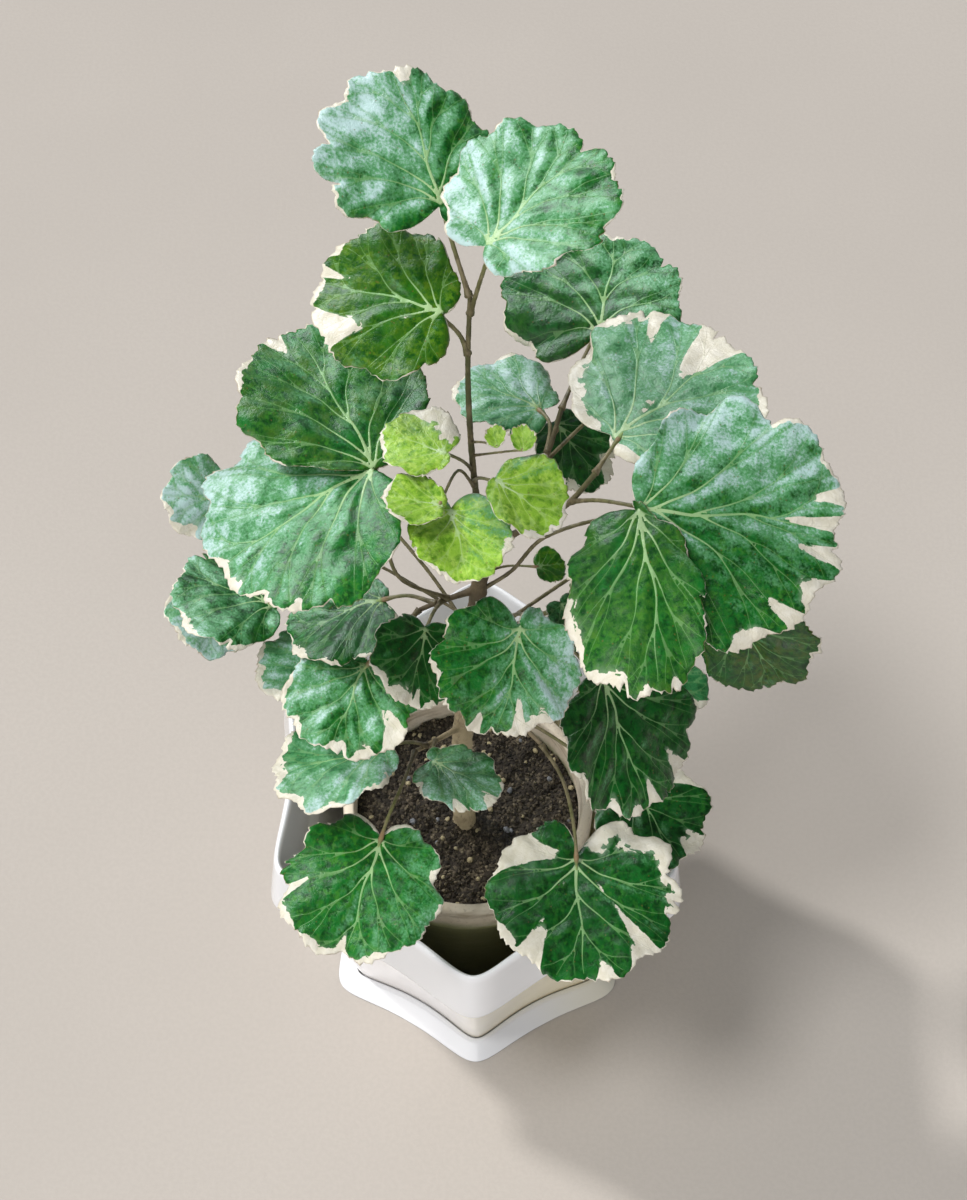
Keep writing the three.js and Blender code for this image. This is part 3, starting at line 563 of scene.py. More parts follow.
def leaf_face(tone):
    """Upper face of a leaf: mottled green, a milky flank that is partly painted sheen, crisp pale veins, and
    cream zones.
    """
    shade, body, mottle = TONES[tone]
    face = Finish(f"leaf upper face, {tone}", shade, blade=True)
    broad = face.noise(0.055, 2.0, 0.5)
    middling = face.noise(0.24, 4.0, 0.6, 0.5)
    fine = face.noise(0.9, 3.0, 0.6)
    vein, wide, depth, milk = (face.mark(name) for name in ("vein", "wide", "depth", "milk"))
    warped = add(face.tree, "ShaderNodeVectorMath", {0: face.place, 1: fine * 2.2}).outputs[0]
    _, chance = face.cells(0.36, warped)

    # Greens: deep patches and yellower mottles.
    face.coat(middling.step(0.36, 0.60), body)
    patches = face.noise(0.34, 3.0, 0.6).step(0.47, 0.64) * broad.step(0.34, 0.56)
    face.coat(patches * 0.85, mottle)
    face.coat(face.net(0.30, warped).step(0.0, 0.14, 0.22, 0.0), mottle)

    # The milky bloom between the veins, partly painted sheen: uneven, strongest on one flank, fading beside
    # the veins, and palest where painted sheen goes over it.
    uneven = (middling - 0.5) * 0.62 + (broad - 0.5) * 0.75 + (fine - 0.5) + (chance - 0.5) * 0.12
    uneven *= milk.step(0.0, 0.5, 0.3, 1.0)
    milky = milk + uneven - vein.step(0.2, 1.8, 0.10, 0.0)
    face.coat(milky.step(0.16, 0.76, 0.0, 0.94), "milk")
    # At its palest, a bluish white painted sheen.
    face.coat(milky.step(0.58, 1.12, 0.0, 0.94), "painted sheen")
    face.coat(face.mark("bronze") * broad.step(0.34, 0.56) * middling.step(0.38, 0.62), "bronze")

    # Veins, palest at the stalk, and a few brown specks.
    face.coat(vein.step(0.0, 0.9, 0.24, 0.0), mottle)
    line = vein.step(-0.05, 0.12, 1.0, 0.0) * wide.step(0.05, 0.32, 0.25, 0.95)
    age = "young vein" if tone == "young" else "vein"
    face.coat(line, face.blend(face.mark("share").step(0.0, 0.55), f"{age} foot", age))
    away, rare = face.cells(0.30, face.place, channel=1)
    face.coat(away.step(0.05, 0.13, 1.0, 0.0) * rare.step(0.80, 0.86, 0.0, 0.5), "leaf speck")

    # Cream comes in from the edge with a stepped border; a greyer green goes before it.
    stepped = (chance - 0.5) * (depth * 0.55).at_most(4.5)
    border = face.mark("edge") + stepped + (fine - 0.5) * depth.step(0.0, 5.0, 0.2, 1.0)
    face.coat(border.step(-2.6, 0.1) * depth.step(1.5, 5.0, 0.0, 0.6), "grey green")
    cream = face.blend(middling.step(0.35, 0.7), "dull cream", "cream")
    face.coat(border.step(-0.10, 0.12), face.blend(line * 0.4, cream, "vein in cream"))
    lip = face.mark("rim").step(0.05, 0.5, 0.5, 0.0) * face.noise(0.12).step(0.46, 0.62)
    face.coat(lip, "brown lip")

    relief = vein.step(-0.3, 0.2, 1.0, 0.0) * 0.12 + middling * 0.42 + fine * 0.18
    relief += face.noise(2.6, 2.0) * 0.04
    return face.done(fine.step(0.3, 0.7, 0.29, 0.44), relief, 1.0, 1.0, Specular_IOR_Level=0.6)


def leaf_back(tone):
    """Underside: paler and duller, with the net standing out."""
    pale = tuple(0.35 * m + 0.65 * c for m, c in zip(TONES[tone][2], PALETTE["underside"]))
    back = Finish(f"leaf underside, {tone}", tuple(0.6 * c for c in pale), blade=True)
    middling = back.noise(0.25)
    line = back.net(0.42, back.place).step(0.0, 0.12, 1.0, 0.0)
    back.coat(middling.step(0.3, 0.7), pale)
    back.coat(line * 0.35, "underside net")
    back.coat(back.mark("vein").step(-0.05, 0.30, 1.0, 0.0), "underside vein")
    border = back.mark("edge") + (middling - 0.5) * 3.0
    back.coat(border.step(-0.3, 0.3), "underside cream")
    return back.done(0.55, middling + line * 0.6, 0.5, 0.5)


def leaf_stalk():
    """Leaf stalk: olive brown, darker streaks, pinkish brown at the callus, green in the blade."""
    stalk = Finish("leaf stalk", "stalk foot")
    along = stalk.mark("along")
    streaks = stalk.noise(900.0, squeeze=(1, 1, 0.25))
    patches = stalk.noise(160.0, 2.0)
    stalk.coat(along.step(0.0, 0.85), "stalk end")
    stalk.coat(patches.step(0.4, 0.62, 0.0, 0.6), "stalk patch")
    stalk.coat(streaks.step(0.5, 0.72, 0.0, 0.55), "stalk streak")
    callus = along.step(0.90, 0.97) * along.step(1.0, 1.06, 1.0, 0.0)
    stalk.coat(callus * 0.6, "callus")
    stalk.coat(along.step(1.0, 1.12), "midrib green")
    return stalk.done(streaks.step(0.3, 0.7, 0.38, 0.6), streaks + patches, 0.5, 0.4)


def bark():
    """Bark: tan and corky at the foot, dark brown above, olive on the thin leader."""
    wood = Finish("bark", "cork")
    height = wood.axis("Z")
    fissures = wood.noise(520.0, 5.0, 0.65, 0.8, squeeze=(1, 1, 0.35))
    blotches = wood.noise(95.0)
    wood.coat(height.step(0.190, 0.285), "brown bark")
    wood.coat(height.step(0.345, 0.40), "olive bark")
    wood.coat(blotches.step(0.44, 0.68, 0.0, 0.5), "bark blotch")
    wood.coat(fissures.step(0.52, 0.70, 0.0, 0.6), "fissure")
    return wood.done(blotches.step(0.3, 0.7, 0.55, 0.85), blotches - fissures, 0.7, 0.6)


def glaze(name, bright, banded):
    """White glaze with a few kiln specks. A banded piece is creamier below its band, with a yellower
    painted shade on its shaded right there; a plain one has a painted shade on its right."""
    milky, clear = (tuple(bright * c for c in PALETTE[end]) for end in ("milky glaze", "clear glaze"))
    ware = Finish(name, milky)
    cloud = ware.noise(14.0)
    side = ware.axis("X")
    ware.coat(cloud.step(0.35, 0.7), clear)
    if banded:
        # Below the band: creamier on the left, and a yellower painted shade on the shaded right.
        cream_and_painted_shade = ware.blend(side.step(-0.03, 0.03), "body cream", "body painted shade")
        ware.coat(ware.axis("Z").step(0.112, 0.1345, 1.0, 0.0) * 0.92, cream_and_painted_shade)
    else:
        # A painted shade on the shaded right of the saucer.
        ware.coat(side.step(0.02, 0.07, 0.0, 0.8), "saucer painted shade")
    away, rare = ware.cells(120.0, ware.place)
    ware.coat(away.step(0.03, 0.07, 1.0, 0.0) * rare.step(0.93, 0.95, 0.0, 0.5), "kiln speck")
    return ware.done(cloud.step(0.3, 0.7, 0.14, 0.24), cloud + ware.noise(260.0) * 0.06, 0.12, 1.2,
                     Coat_Weight=0.5, Coat_Roughness=0.08)


def clay():
    """Pale clay: lime bloom, earth stains, a green film under the lip and below, and a painted shade lower
    still, where the pot sits deep in the planter.
    """
    ware = Finish("pale clay", "clay")
    cloud = ware.noise(28.0, 4.0, 0.6)
    grit = ware.noise(620.0)
    bands = ware.noise(30.0, squeeze=(1, 1, 5))
    ware.coat(cloud.step(0.35, 0.7), "lime bloom")
    ware.coat(bands.step(0.52, 0.72, 0.0, 0.7), "earth stain")
    ware.coat(grit.step(0.55, 0.75, 0.0, 0.35), "clay grit")
    ragged_height = ware.axis("Z") + (cloud - 0.5) * 0.012
    ware.coat(ragged_height.step(0.128, 0.1375, 1.0, 0.0) * 0.85, "green film")
    # A painted shade lower down, where the pot sits deep in the planter.
    ware.coat(ragged_height.step(0.100, 0.126, 1.0, 0.0) * 0.7, "painted gap shade")
    return ware.done(cloud.step(0.3, 0.7, 0.6, 0.85), grit + bands * 2.0, 0.35, 0.5)


def earth(name, dark, light, share):
    """Potting soil: a share of dark crumbs, and lighter ones among them."""
    crumbs = Finish(name, dark)
    away, chance = crumbs.cells(560.0, crumbs.place)
    crumbs.coat(chance.step(share, share + 0.1), light)
    crumbs.coat(crumbs.noise(60.0).step(0.35, 0.65, 0.0, 0.6), tuple(0.5 * c for c in dark))
    return crumbs.done(0.92, crumbs.noise(900.0) - away, 0.9, 1.2)


def pebble(name, dark, light):
    stone = Finish(name, dark)
    grain = stone.noise(700.0, 4.0)
    stone.coat(grain.step(0.35, 0.65), light)
    return stone.done(0.7, grain, 0.5, 0.4)


def paper():
    """Pale warm backdrop paper with a barely seen tooth."""
    sheet = Finish("backdrop paper", "paper")
    tooth = sheet.noise(420.0)
    sheet.coat(sheet.noise(3.0).step(0.3, 0.7), "light paper")
    sheet.coat(tooth.step(0.35, 0.65, 0.0, 0.3), "paper tooth")
    return sheet.done(0.9, tooth, 0.15, 0.6, Specular_IOR_Level=0.2)


# Six-cornered ware and the pot.


def rounded(profile, ease, steps=5):
    """The profile with its corners eased; each entry is (radius, height, corner softness)."""
    p = np.array([(*entry, HEX_SOFTNESS)[:3] for entry in profile], float)
    out = [p[0]]
    for before, corner, after in zip(p, p[1:], p[2:]):
        back, ahead = before - corner, after - corner
        reach = [min(ease / max(1e-6, np.linalg.norm(v[:2])), 0.45) for v in (back, ahead)]
        start, end = corner + back * reach[0], corner + ahead * reach[1]
        for t in np.linspace(0, 1, steps):
            out.append((1 - t) ** 2 * start + 2 * t * (1 - t) * corner + t * t * end)
    return np.array(out + [p[-1]])


def refined(profile, longest):
    """Extra points where a profile's step is longer than this."""
    out = [profile[0]]
    for a, b in zip(profile, profile[1:]):
        count = max(1, int(math.ceil(np.linalg.norm((b - a)[:2]) / longest)))
        out.extend(a + (b - a) * (i + 1) / count for i in range(count))
    return np.array(out)


def hex_radius(angle, soft):
    """Radius of the hollow-sided hexagon with eased corners, per unit of corner radius."""
    step = math.pi / 3
    eased = np.minimum(step / 2, np.hypot(angle - step * np.round(angle / step), soft))
    along = np.tan(step / 2 - eased) / math.tan(step / 2)
    return (math.cos(step / 2) - HEX_HOLLOW * (1 - along**2)) / np.cos(step / 2 - eased)


def hex_turned(name, profile, material):
    """Six-cornered body with its profile on the corners, and more of its points near them."""
    profile = refined(rounded(profile, HEX_EASE), HEX_STEP)
    even = np.linspace(0, 2 * math.pi, HEX_SEGMENTS, endpoint=False)
    angle = even - HEX_CROWDING * np.sin(6 * even)
    rings = [ring_points(radius * hex_radius(angle, math.radians(soft)), angle + HEX_TURN, height)
             for radius, height, soft in profile[1:-1]]
    verts = np.vstack([(0.0, 0.0, profile[0][1]), *rings, (0.0, 0.0, profile[-1][1])])
    return make_object(name, verts, turned_faces(len(profile), HEX_SEGMENTS), [material])


def make_saucer():
    s = SAUCER
    profile = [(0, 0), (s["foot"] - 2, 0, 6), (s["foot"], 0.8, 6), (s["top"] + 1.2, s["height"] - 0.6),
               (s["top"], s["height"]), (s["recess"] + 0.3, s["height"], 4),
               (s["recess"], s["height"] - 0.3, 4), (s["recess"], s["floor"], 4), (0, s["floor"])]
    return hex_turned("saucer_glazed", profile, glaze("saucer glaze", 0.9, False))


def make_planter():
    p = PLANTER
    bottom = SAUCER["floor"] + GAP
    profile = [
        (0, bottom), (p["base"] - 1.5, bottom, 4), (p["base"], bottom + 1.5, 4),
        (p["waist"], p["band_bottom"] - 1, 4), (p["band_foot"] - 2, p["band_bottom"]),
        (p["band_foot"], p["band_bottom"] + 1.6), (p["band_top"] + 0.2, p["height"] - 3),
        (p["band_top"] - 0.8, p["height"] - 0.8), (p["band_top"] - 2.4, p["height"], 4.6),
        (p["mouth"] + 0.8, p["height"] - 0.6, 4), (p["mouth"], p["height"] - 2.4, 4),
        (p["waist"] - 1, p["band_bottom"] + 2, 4), (p["waist"] - p["wall"] - 1, p["band_bottom"] - 6, 4),
        (p["base"] - 3, p["floor"], 4), (0, p["floor"])]
    return hex_turned("planter_glazed", profile, glaze("planter glaze", 1.0, True))


def make_pot():
    p = POT
    bottom = PLANTER["floor"] + GAP
    lip = p["rim"] - p["lip_height"]
    profile = rounded([
        (p["drain"], bottom), (p["base"] - 2, bottom), (p["base"], bottom + 2), (p["body"], lip - 1.5),
        (p["lip_outer"] - 1.2, lip), (p["lip_outer"], lip + 1.6), (p["lip_outer"], p["rim"] - 2),
        (p["lip_outer"] - 1.6, p["rim"]), (p["lip_inner"] + 0.8, p["rim"]), (p["lip_inner"], p["rim"] - 1),
        (p["lip_inner"] - 1, lip), (p["body"] - p["wall"], lip - 3),
        (p["base"] - p["wall"], bottom + p["floor"]), (p["drain"], bottom + p["floor"])], POT_EASE)
    turn = np.linspace(0, 2 * math.pi, POT_SEGMENTS, endpoint=False)
    rings = []
    for radius, height, _ in refined(profile, POT_STEP):
        worn = radius + 0.12 * np.sin(5 * turn + height * 0.1) + 0.08 * np.sin(13 * turn + height)
        rings.append(ring_points(worn, turn, height, POT_MIDDLE))
    starts = [POT_SEGMENTS * row for row in range(len(rings))]
    faces = [quad for low, high in zip(starts, starts[1:] + starts[:1])
             for quad in between(low, high, POT_SEGMENTS)]
    return make_object("pot_clay", np.vstack(rings), faces, [clay()])


# Soil.


def soil_height(x, y):
    """Rise of the soil over its level, at a place from the pot's middle."""
    mound = SOIL["under_trunk"] * np.exp(-((x + 1) ** 2 + (y + 5) ** 2) / 260)
    rough = SOIL["roughness"] * (np.sin(x * 0.31 + 1.2) * np.cos(y * 0.27)
                                 + 0.25 * np.sin(x * 0.72 - y * 0.58))
    crumbs = 0.35 * np.sin(x * 1.9 + 2 * np.sin(y * 0.8)) * np.sin(y * 2.1 + 1.5 * np.sin(x * 1.1))
    return mound + rough + crumbs


def make_soil_bed():
    p = POT
    bottom = PLANTER["floor"] + 2 * GAP + p["floor"]
    lip = p["rim"] - p["lip_height"]
    wall = p["lip_inner"] - 1 - GAP
    side = [(p["base"] - p["wall"] - GAP, bottom), (p["body"] - p["wall"] - GAP, lip - 3),
            (wall, lip + 0.5), (wall, SOIL["level"] - 2)]
    turn = np.linspace(0, 2 * math.pi, SOIL["segments"], endpoint=False)
    rings = [ring_points(radius, turn, height, POT_MIDDLE) for radius, height in side]
    for radius in np.linspace(wall - 0.6, 1.2, SOIL["rings"]):
        lift = soil_height(radius * np.cos(turn), radius * np.sin(turn))
        rings.append(ring_points(radius, turn, SOIL["level"] + lift, POT_MIDDLE))
    middle_height = SOIL["level"] + soil_height(0.0, 0.0)
    verts = np.vstack([(*POT_MIDDLE, bottom), *rings, (*POT_MIDDLE, middle_height)])
    bed = earth("damp soil", (0.050, 0.039, 0.028), (0.150, 0.120, 0.082), 0.66)
    return make_object("soil_bed", verts, turned_faces(len(rings) + 2, SOIL["segments"]), [bed])


def scatter_tree(name, material):
    """Grains strewn over the upward faces of a surface; their number for each square metre, size
    in metres, lowest place, seed and facets are its inputs."""
    tree = bpy.data.node_groups.new(name, "GeometryNodeTree")
    for socket, kind in (("Surface", "Geometry"), ("Density", "Float"), ("Grain Size", "Float"),
                         ("Lowest", "Float"), ("Seed", "Int"), ("Facets", "Int")):
        tree.interface.new_socket(name=socket, in_out="INPUT", socket_type=f"NodeSocket{kind}")
    tree.interface.new_socket(name="Grains", in_out="OUTPUT", socket_type="NodeSocketGeometry")
    given = tree.nodes.new("NodeGroupInput").outputs

    def made(kind, inputs=None, output=0, **settings):
        return add(tree, kind, inputs, **settings).outputs[output]

    facing = made("ShaderNodeSeparateXYZ", {0: made("GeometryNodeInputNormal")}, "Z")
    level = made("ShaderNodeSeparateXYZ", {0: made("GeometryNodeInputPosition")}, "Z")
    upward = made("FunctionNodeCompare", {0: facing, 1: 0.3}, operation="GREATER_THAN")
    high = made("FunctionNodeCompare", {0: level, 1: given["Lowest"]}, operation="GREATER_THAN")
    open_face = made("FunctionNodeBooleanMath", {0: upward, 1: high}, operation="AND")
    points = made("GeometryNodeDistributePointsOnFaces",
                  {"Mesh": given["Surface"], "Selection": open_face, "Density": given["Density"],
                   "Seed": given["Seed"]}, "Points")
    grain = made("GeometryNodeMeshIcoSphere", {"Radius": given["Grain Size"],
                                               "Subdivisions": given["Facets"]})
    turn, size = (
        made("FunctionNodeRandomValue", {0: least, 1: most, "Seed": given["Seed"]},
             data_type="FLOAT_VECTOR")
        for least, most in (((0, 0, 0), (6.28, 6.28, 6.28)), ((0.45, 0.45, 0.35), (1.25, 1.0, 0.9))))
    strewn = made("GeometryNodeInstanceOnPoints",
                  {"Points": points, "Instance": grain, "Rotation": turn, "Scale": size})
    real = made("GeometryNodeRealizeInstances", {0: strewn})
    dressed = made("GeometryNodeSetMaterial", {"Geometry": real, "Material": material})
    tree.links.new(dressed, tree.nodes.new("NodeGroupOutput").inputs[0])
    return tree


def strew(surface, name, material, **values):
    """Plain mesh of what the scatter tree strews over a copy of the surface."""
    tree = scatter_tree(name, material)
    carrier = bpy.data.objects.new(name, surface.data.copy())
    bpy.context.scene.collection.objects.link(carrier)
    modifier = carrier.modifiers.new("strewn", "NODES")
    modifier.node_group = tree
    for item in tree.interface.items_tree:
        key = item.name.replace(" ", "_").lower()
        if item.in_out == "INPUT" and key in values:
            modifier[item.identifier] = values[key]
    return make_plain(carrier)


# Stems.


def stem_radii(path, ends, seed):
    """Radius along a stem: taper, a flare at the start, and low rings where leaves once stood."""
    length = run_length(path)
    share = length / length[-1]
    slimmed, flare, fading, spacing = ((0.57, 0.35 * ends[0], 5, 13) if ends[0] < THIN_STEM
                                       else (0.93, 0.25, 30, 17))
    radius = (ends[0] + (ends[1] - ends[0]) * share) * slimmed
    joint = length / spacing + 0.3 * np.sin(length * 0.13 + seed)
    rings = 0.09 * bell(joint - np.round(joint), 0.09)
    knots = 0.05 * np.sin(length * 0.9 + seed * 2) * np.sin(length * 0.37 + seed)
    return radius * (1 + rings + knots) + flare * np.exp(-length / fading) * (share < 0.5)


def make_stem():
    """Trunk and branches, each a tube, grown together by a remesh."""
    bodies = []
    for seed, (ends, points) in enumerate(STEMS):
        path = smooth_path(points, STEM_STEP)
        bodies.append(tube(path, stem_radii(path, ends, seed), STEM_SIDES))
    stem = make_object("stem_bark", *joined(bodies), [bark()])
    remesh = stem.modifiers.new("fuse", "REMESH")
    remesh.mode = "VOXEL"
    remesh.voxel_size = STEM_VOXEL * MM
    remesh.use_smooth_shade = True
    return make_plain(stem)


# Leaves.


class BladePlan:
    """A blade in its own plane, in millimetres: x runs to the tip and the stalk is at zero."""

    def __init__(self, blade, seed):
        self.blade, self.seed = blade, blade.seed or seed
        self.radius, self.ahead, self.aside, self.breadth = (*blade.size, 1.0)[:4]
        self.lobes = next(count for least, count in LOBES if self.radius >= least)
        self.angles = np.linspace(-math.pi, math.pi, MARGIN_POINTS)
        x, y = self.margin(self.angles)
        self.reach = np.hypot(x, y)
        middle = MARGIN_POINTS // 2
        turned = np.unwrap(np.arctan2(y, x))
        turned -= 2 * math.pi * round(turned[middle] / (2 * math.pi))
        self.bearing = np.concatenate([np.minimum.accumulate(turned[middle::-1])[::-1],
                                       np.maximum.accumulate(turned[middle + 1:])])

    def margin(self, angle):
        """Outline without its teeth, as in the part."""
        place = (angle + math.pi) / (2 * math.pi) * self.lobes
        within = place - np.floor(place)
        depth = 0.05 + 0.09 * draw(np.round(place) % self.lobes, self.seed) ** 2
        swell = 0.03 * np.sin(2 * angle + self.seed) + 0.025 * np.sin(3 * angle + 2.3 * self.seed)
        reach = self.radius * (1 + swell - depth * np.abs(np.cos(math.pi * within)) ** 3)
        cut = 1 - 0.86 * bell(math.pi - np.abs(angle), SINUS)
        return ((self.ahead + reach * 0.95 * np.cos(angle)) * cut,
                (self.aside + reach * 1.04 * self.breadth * np.sin(angle)) * cut)

    def outline(self, angle):
        """The margin with its teeth and a few deeper clefts."""
        x, y = self.margin(angle)
        count = max(9, round(2 * math.pi * self.radius / 5.2))
        place = (angle / (2 * math.pi) * count + 0.42 * np.sin(3 * angle + self.seed)
                 + 0.25 * np.sin(7 * angle + 2 * self.seed))
        within, number = place - np.floor(place), np.floor(place)
        tall = (0.5 + 0.9 * draw(number, self.seed + 0.5)) * min(1.0, 0.35 + self.radius / 45)
        tooth = 0.75 * (1 - np.abs(2 * within - 1) ** 2.4) + 0.75 * bell(within - 0.72, 0.11)
        cleft = np.zeros_like(angle)
        for k in range(4):
            centre = (draw(k, self.seed + 7) - 0.5) * 1.65 * math.pi
            width = 0.035 + 0.03 * draw(k, self.seed + 8)
            deep = self.radius * (0.03 + 0.09 * draw(k, self.seed + 9))
            cleft += deep * np.clip(1 - np.abs(angle - centre) / width, 0, 1)
        fade = 1 - bell(math.pi - np.abs(angle), 1.4 * SINUS)
        grow = 1 + fade * (tall * tooth - 0.6 * tall - cleft) / np.hypot(x, y)
        return x * grow, y * grow

    def place(self, x, y):
        """Each point's direction about the blade's middle and its share of the way to the margin."""
        first = self.bearing[0]
        bearing = first + np.mod(np.arctan2(y, x) - first, 2 * math.pi)
        angle = np.interp(bearing, self.bearing, self.angles)
        return angle, np.hypot(x, y) / np.interp(bearing, self.bearing, self.reach)

    def height(self, x, y, share, angle):
        """Rise of the blade's middle surface, as in the part."""
        droop, cup, left, right, wave = self.blade.bend
        share = np.minimum(share, 1.1)
        fall = (cup * (x * x + y * y) - droop * np.maximum(0, x) ** 2
                - left * np.maximum(0, y) ** 2 - right * np.maximum(0, -y) ** 2) / self.radius
        return fall + 0.1 * np.abs(y) * (1 - share * 0.5) + wave * share**2 * np.sin(
            4 * angle + self.seed * 1.7)

    def veins(self):
        """Veins as (rank, points, half widths): the midrib, side veins that bow out, and forks."""
        scale = min(0.94, 0.10 + self.radius / 49)
        runs = []

        def run(rank, start, lean, target, wide, pull=0.42):
            """A vein from start, first along lean, to a point near the margin."""
            chord = np.linalg.norm(target - start)
            middle = start + unit(lean) * pull * chord
            t = np.linspace(0, 1, max(9, int(chord / VEIN_SAMPLE)))[:, None]
            points = (1 - t) ** 2 * start + 2 * t * (1 - t) * middle + t * t * target
            sway = 0.018 * chord * np.sin(t * (7 + 4 * draw(rank, target[1])) + target[0])
            points += sway * 4 * t * (1 - t) * np.array([0.4, 1.0])
            runs.append((rank, points, scale * (wide[0] + (wide[1] - wide[0]) * t[:, 0] ** 0.62)))
            return points

        def aim(degrees, share):
            return np.array(self.margin(math.radians(degrees))) * share

        def onward(vein, index):
            """Way that a vein runs on from one of its points."""
            return vein[index + 8] - vein[index]

        tip = 8 * (draw(1, self.seed) - 0.5)
        rib = run(0, np.zeros(2), np.array([1.0, 0.12 * self.aside / self.radius]), aim(tip, 0.97),
                  MIDRIB, 0.5)
        for side in (1, -1):
            for k, (along, degrees, play, wide) in enumerate(SIDE_VEINS):
                degrees = side * (degrees + play * (draw(k, self.seed + side) - 0.5))
                along *= 1 + 0.5 * draw(k, self.seed + 3 * side)
                index = min(len(rib) - 9, int(along * len(rib)))
                target = aim(degrees, 0.96)
                lean = 0.6 * unit(onward(rib, index)) + 0.75 * unit(target - rib[index])
                vein = run(1, rib[index], lean, target, (wide, 0.08))
                for j, (share, shift) in enumerate(FORKS[:3 if k in (1, 2) else 2]):
                    share += 0.12 * (draw(j, self.seed + 5 * k) - 0.5)
                    fork = int(share * (len(vein) - 9))
                    if self.radius > 12 and np.linalg.norm(vein[-1] - vein[fork]) > 4:
                        run(2, vein[fork], onward(vein, fork), aim(degrees + side * shift, 0.97),
                            (0.20, 0.06), 0.34)
        return runs


def thin_out(points, gap):
    """The points in turn, leaving out those closer than gap to one already taken."""
    taken, cells = [], {}
    for x, y in points:
        cell = (int(x // gap), int(y // gap))
        near = (q for i in (-1, 0, 1) for j in (-1, 0, 1)
                for q in cells.get((cell[0] + i, cell[1] + j), ()))
        if all((x - q[0]) ** 2 + (y - q[1]) ** 2 >= gap * gap for q in near):
            cells.setdefault(cell, []).append((x, y))
            taken.append((x, y))
    return np.array(taken)


def nearest(points, others):
    """Distance from each point to the nearest of the others, and that one's number."""
    tree = KDTree(len(others))
    for number, (x, y) in enumerate(others):
        tree.insert((x, y, 0.0), number)
    tree.balance()
    found = [tree.find((x, y, 0.0)) for x, y in points]
    return np.array([f[2] for f in found]), np.array([f[1] for f in found])


def cut_blade(plan, runs):
    """Flat triangles of a blade: its points follow the margin and the veins."""
    rim = np.column_stack(plan.outline(plan.angles))
    length = np.concatenate([[0], np.cumsum(np.hypot(*np.diff(rim, axis=0).T))])
    even = np.linspace(0, length[-1], max(24, int(length[-1] / RIM_SPACING)), endpoint=False)
    rim = np.column_stack([np.interp(even, length, rim[:, 0]), np.interp(even, length, rim[:, 1])])
    inner = np.vstack([points[::VEIN_POINT] for _, points, _ in runs])
    inner = inner[plan.place(*inner.T)[1] < 0.96]
    inner = thin_out(inner[nearest(inner, rim)[0] > 0.5], VEIN_GAP)
    reach = plan.radius + abs(plan.ahead) + abs(plan.aside)
    step = min(SPACING, plan.radius / 12)
    rows = np.arange(-reach, reach, step * 0.866)
    grid = np.array([(u + (step / 2 if i % 2 else 0), v) for i, v in enumerate(rows)
                     for u in np.arange(-reach, reach, step)])
    angle, share = plan.place(*grid.T)
    grid, angle = grid[share < 1.12], angle[share < 1.12]
    grid = grid[np.hypot(*grid.T) < np.hypot(*plan.outline(angle))]
    grid = grid[nearest(grid, rim)[0] > 0.55 * step]
    grid = grid[nearest(grid, inner)[0] > 0.52 * step]
    flat = [Vector(p) for p in np.vstack([rim, inner, grid])]
    verts, _, faces, *_ = delaunay_2d_cdt(flat, [], [list(range(len(rim)))], 1, 1e-5)
    return np.array([tuple(v) for v in verts]), [list(f) for f in faces]


def ripples(x, y, seed, shortest, longest, count=6):
    """Soft irregular waves, from -1 to 1, of wavelengths between these."""
    total = 0.0
    for k in range(count):
        way = 2 * math.pi * draw(k, seed + 0.3)
        pace = 2 * math.pi / (shortest + (longest - shortest) * draw(k, seed + 0.6))
        total = total + np.sin(pace * (x * math.cos(way) + y * math.sin(way)) + 7 * draw(k, seed + 0.9))
    return total / count ** 0.5 / 1.4


def slopes(x, y, height, faces):
    """Which way and how steeply each point of a height field faces."""
    points, corners = np.column_stack([x, y, height]), np.array(faces)
    a, b, c = points[corners[:, 0]], points[corners[:, 1]], points[corners[:, 2]]
    across = np.cross(b - a, c - a)
    normal = np.zeros_like(points)
    for corner in corners.T:
        np.add.at(normal, corner, across)
    return normal[:, :2] / np.maximum(np.abs(normal[:, 2:]), 1e-9)


def cream_depth(plan, angle):
    """How far the cream comes in from the margin in each direction."""
    depth = 0.12 + 0.5 * np.sin(5 * angle + plan.seed) * np.sin(11 * angle + plan.seed)
    for centre, half, deep in plan.blade.cream:
        away = (np.degrees(angle) - centre + 180) % 360 - 180
        depth = np.maximum(depth, deep * np.exp(-((away / half) ** 4)))
    return np.maximum(depth, 0.05)


def turn_matrix(turn):
    """Rows: along the midrib, across it, and the upper face's direction."""
    heading, rise, roll = (math.radians(v) for v in turn)
    along = np.array([math.cos(heading) * math.cos(rise), math.sin(heading) * math.cos(rise),
                      math.sin(rise)])
    level = np.array([-math.sin(heading), math.cos(heading), 0.0])
    upright = np.cross(along, level)
    normal = upright * math.cos(roll) + np.cross(along, upright) * math.sin(roll)
    return np.array([along, np.cross(normal, along), normal])


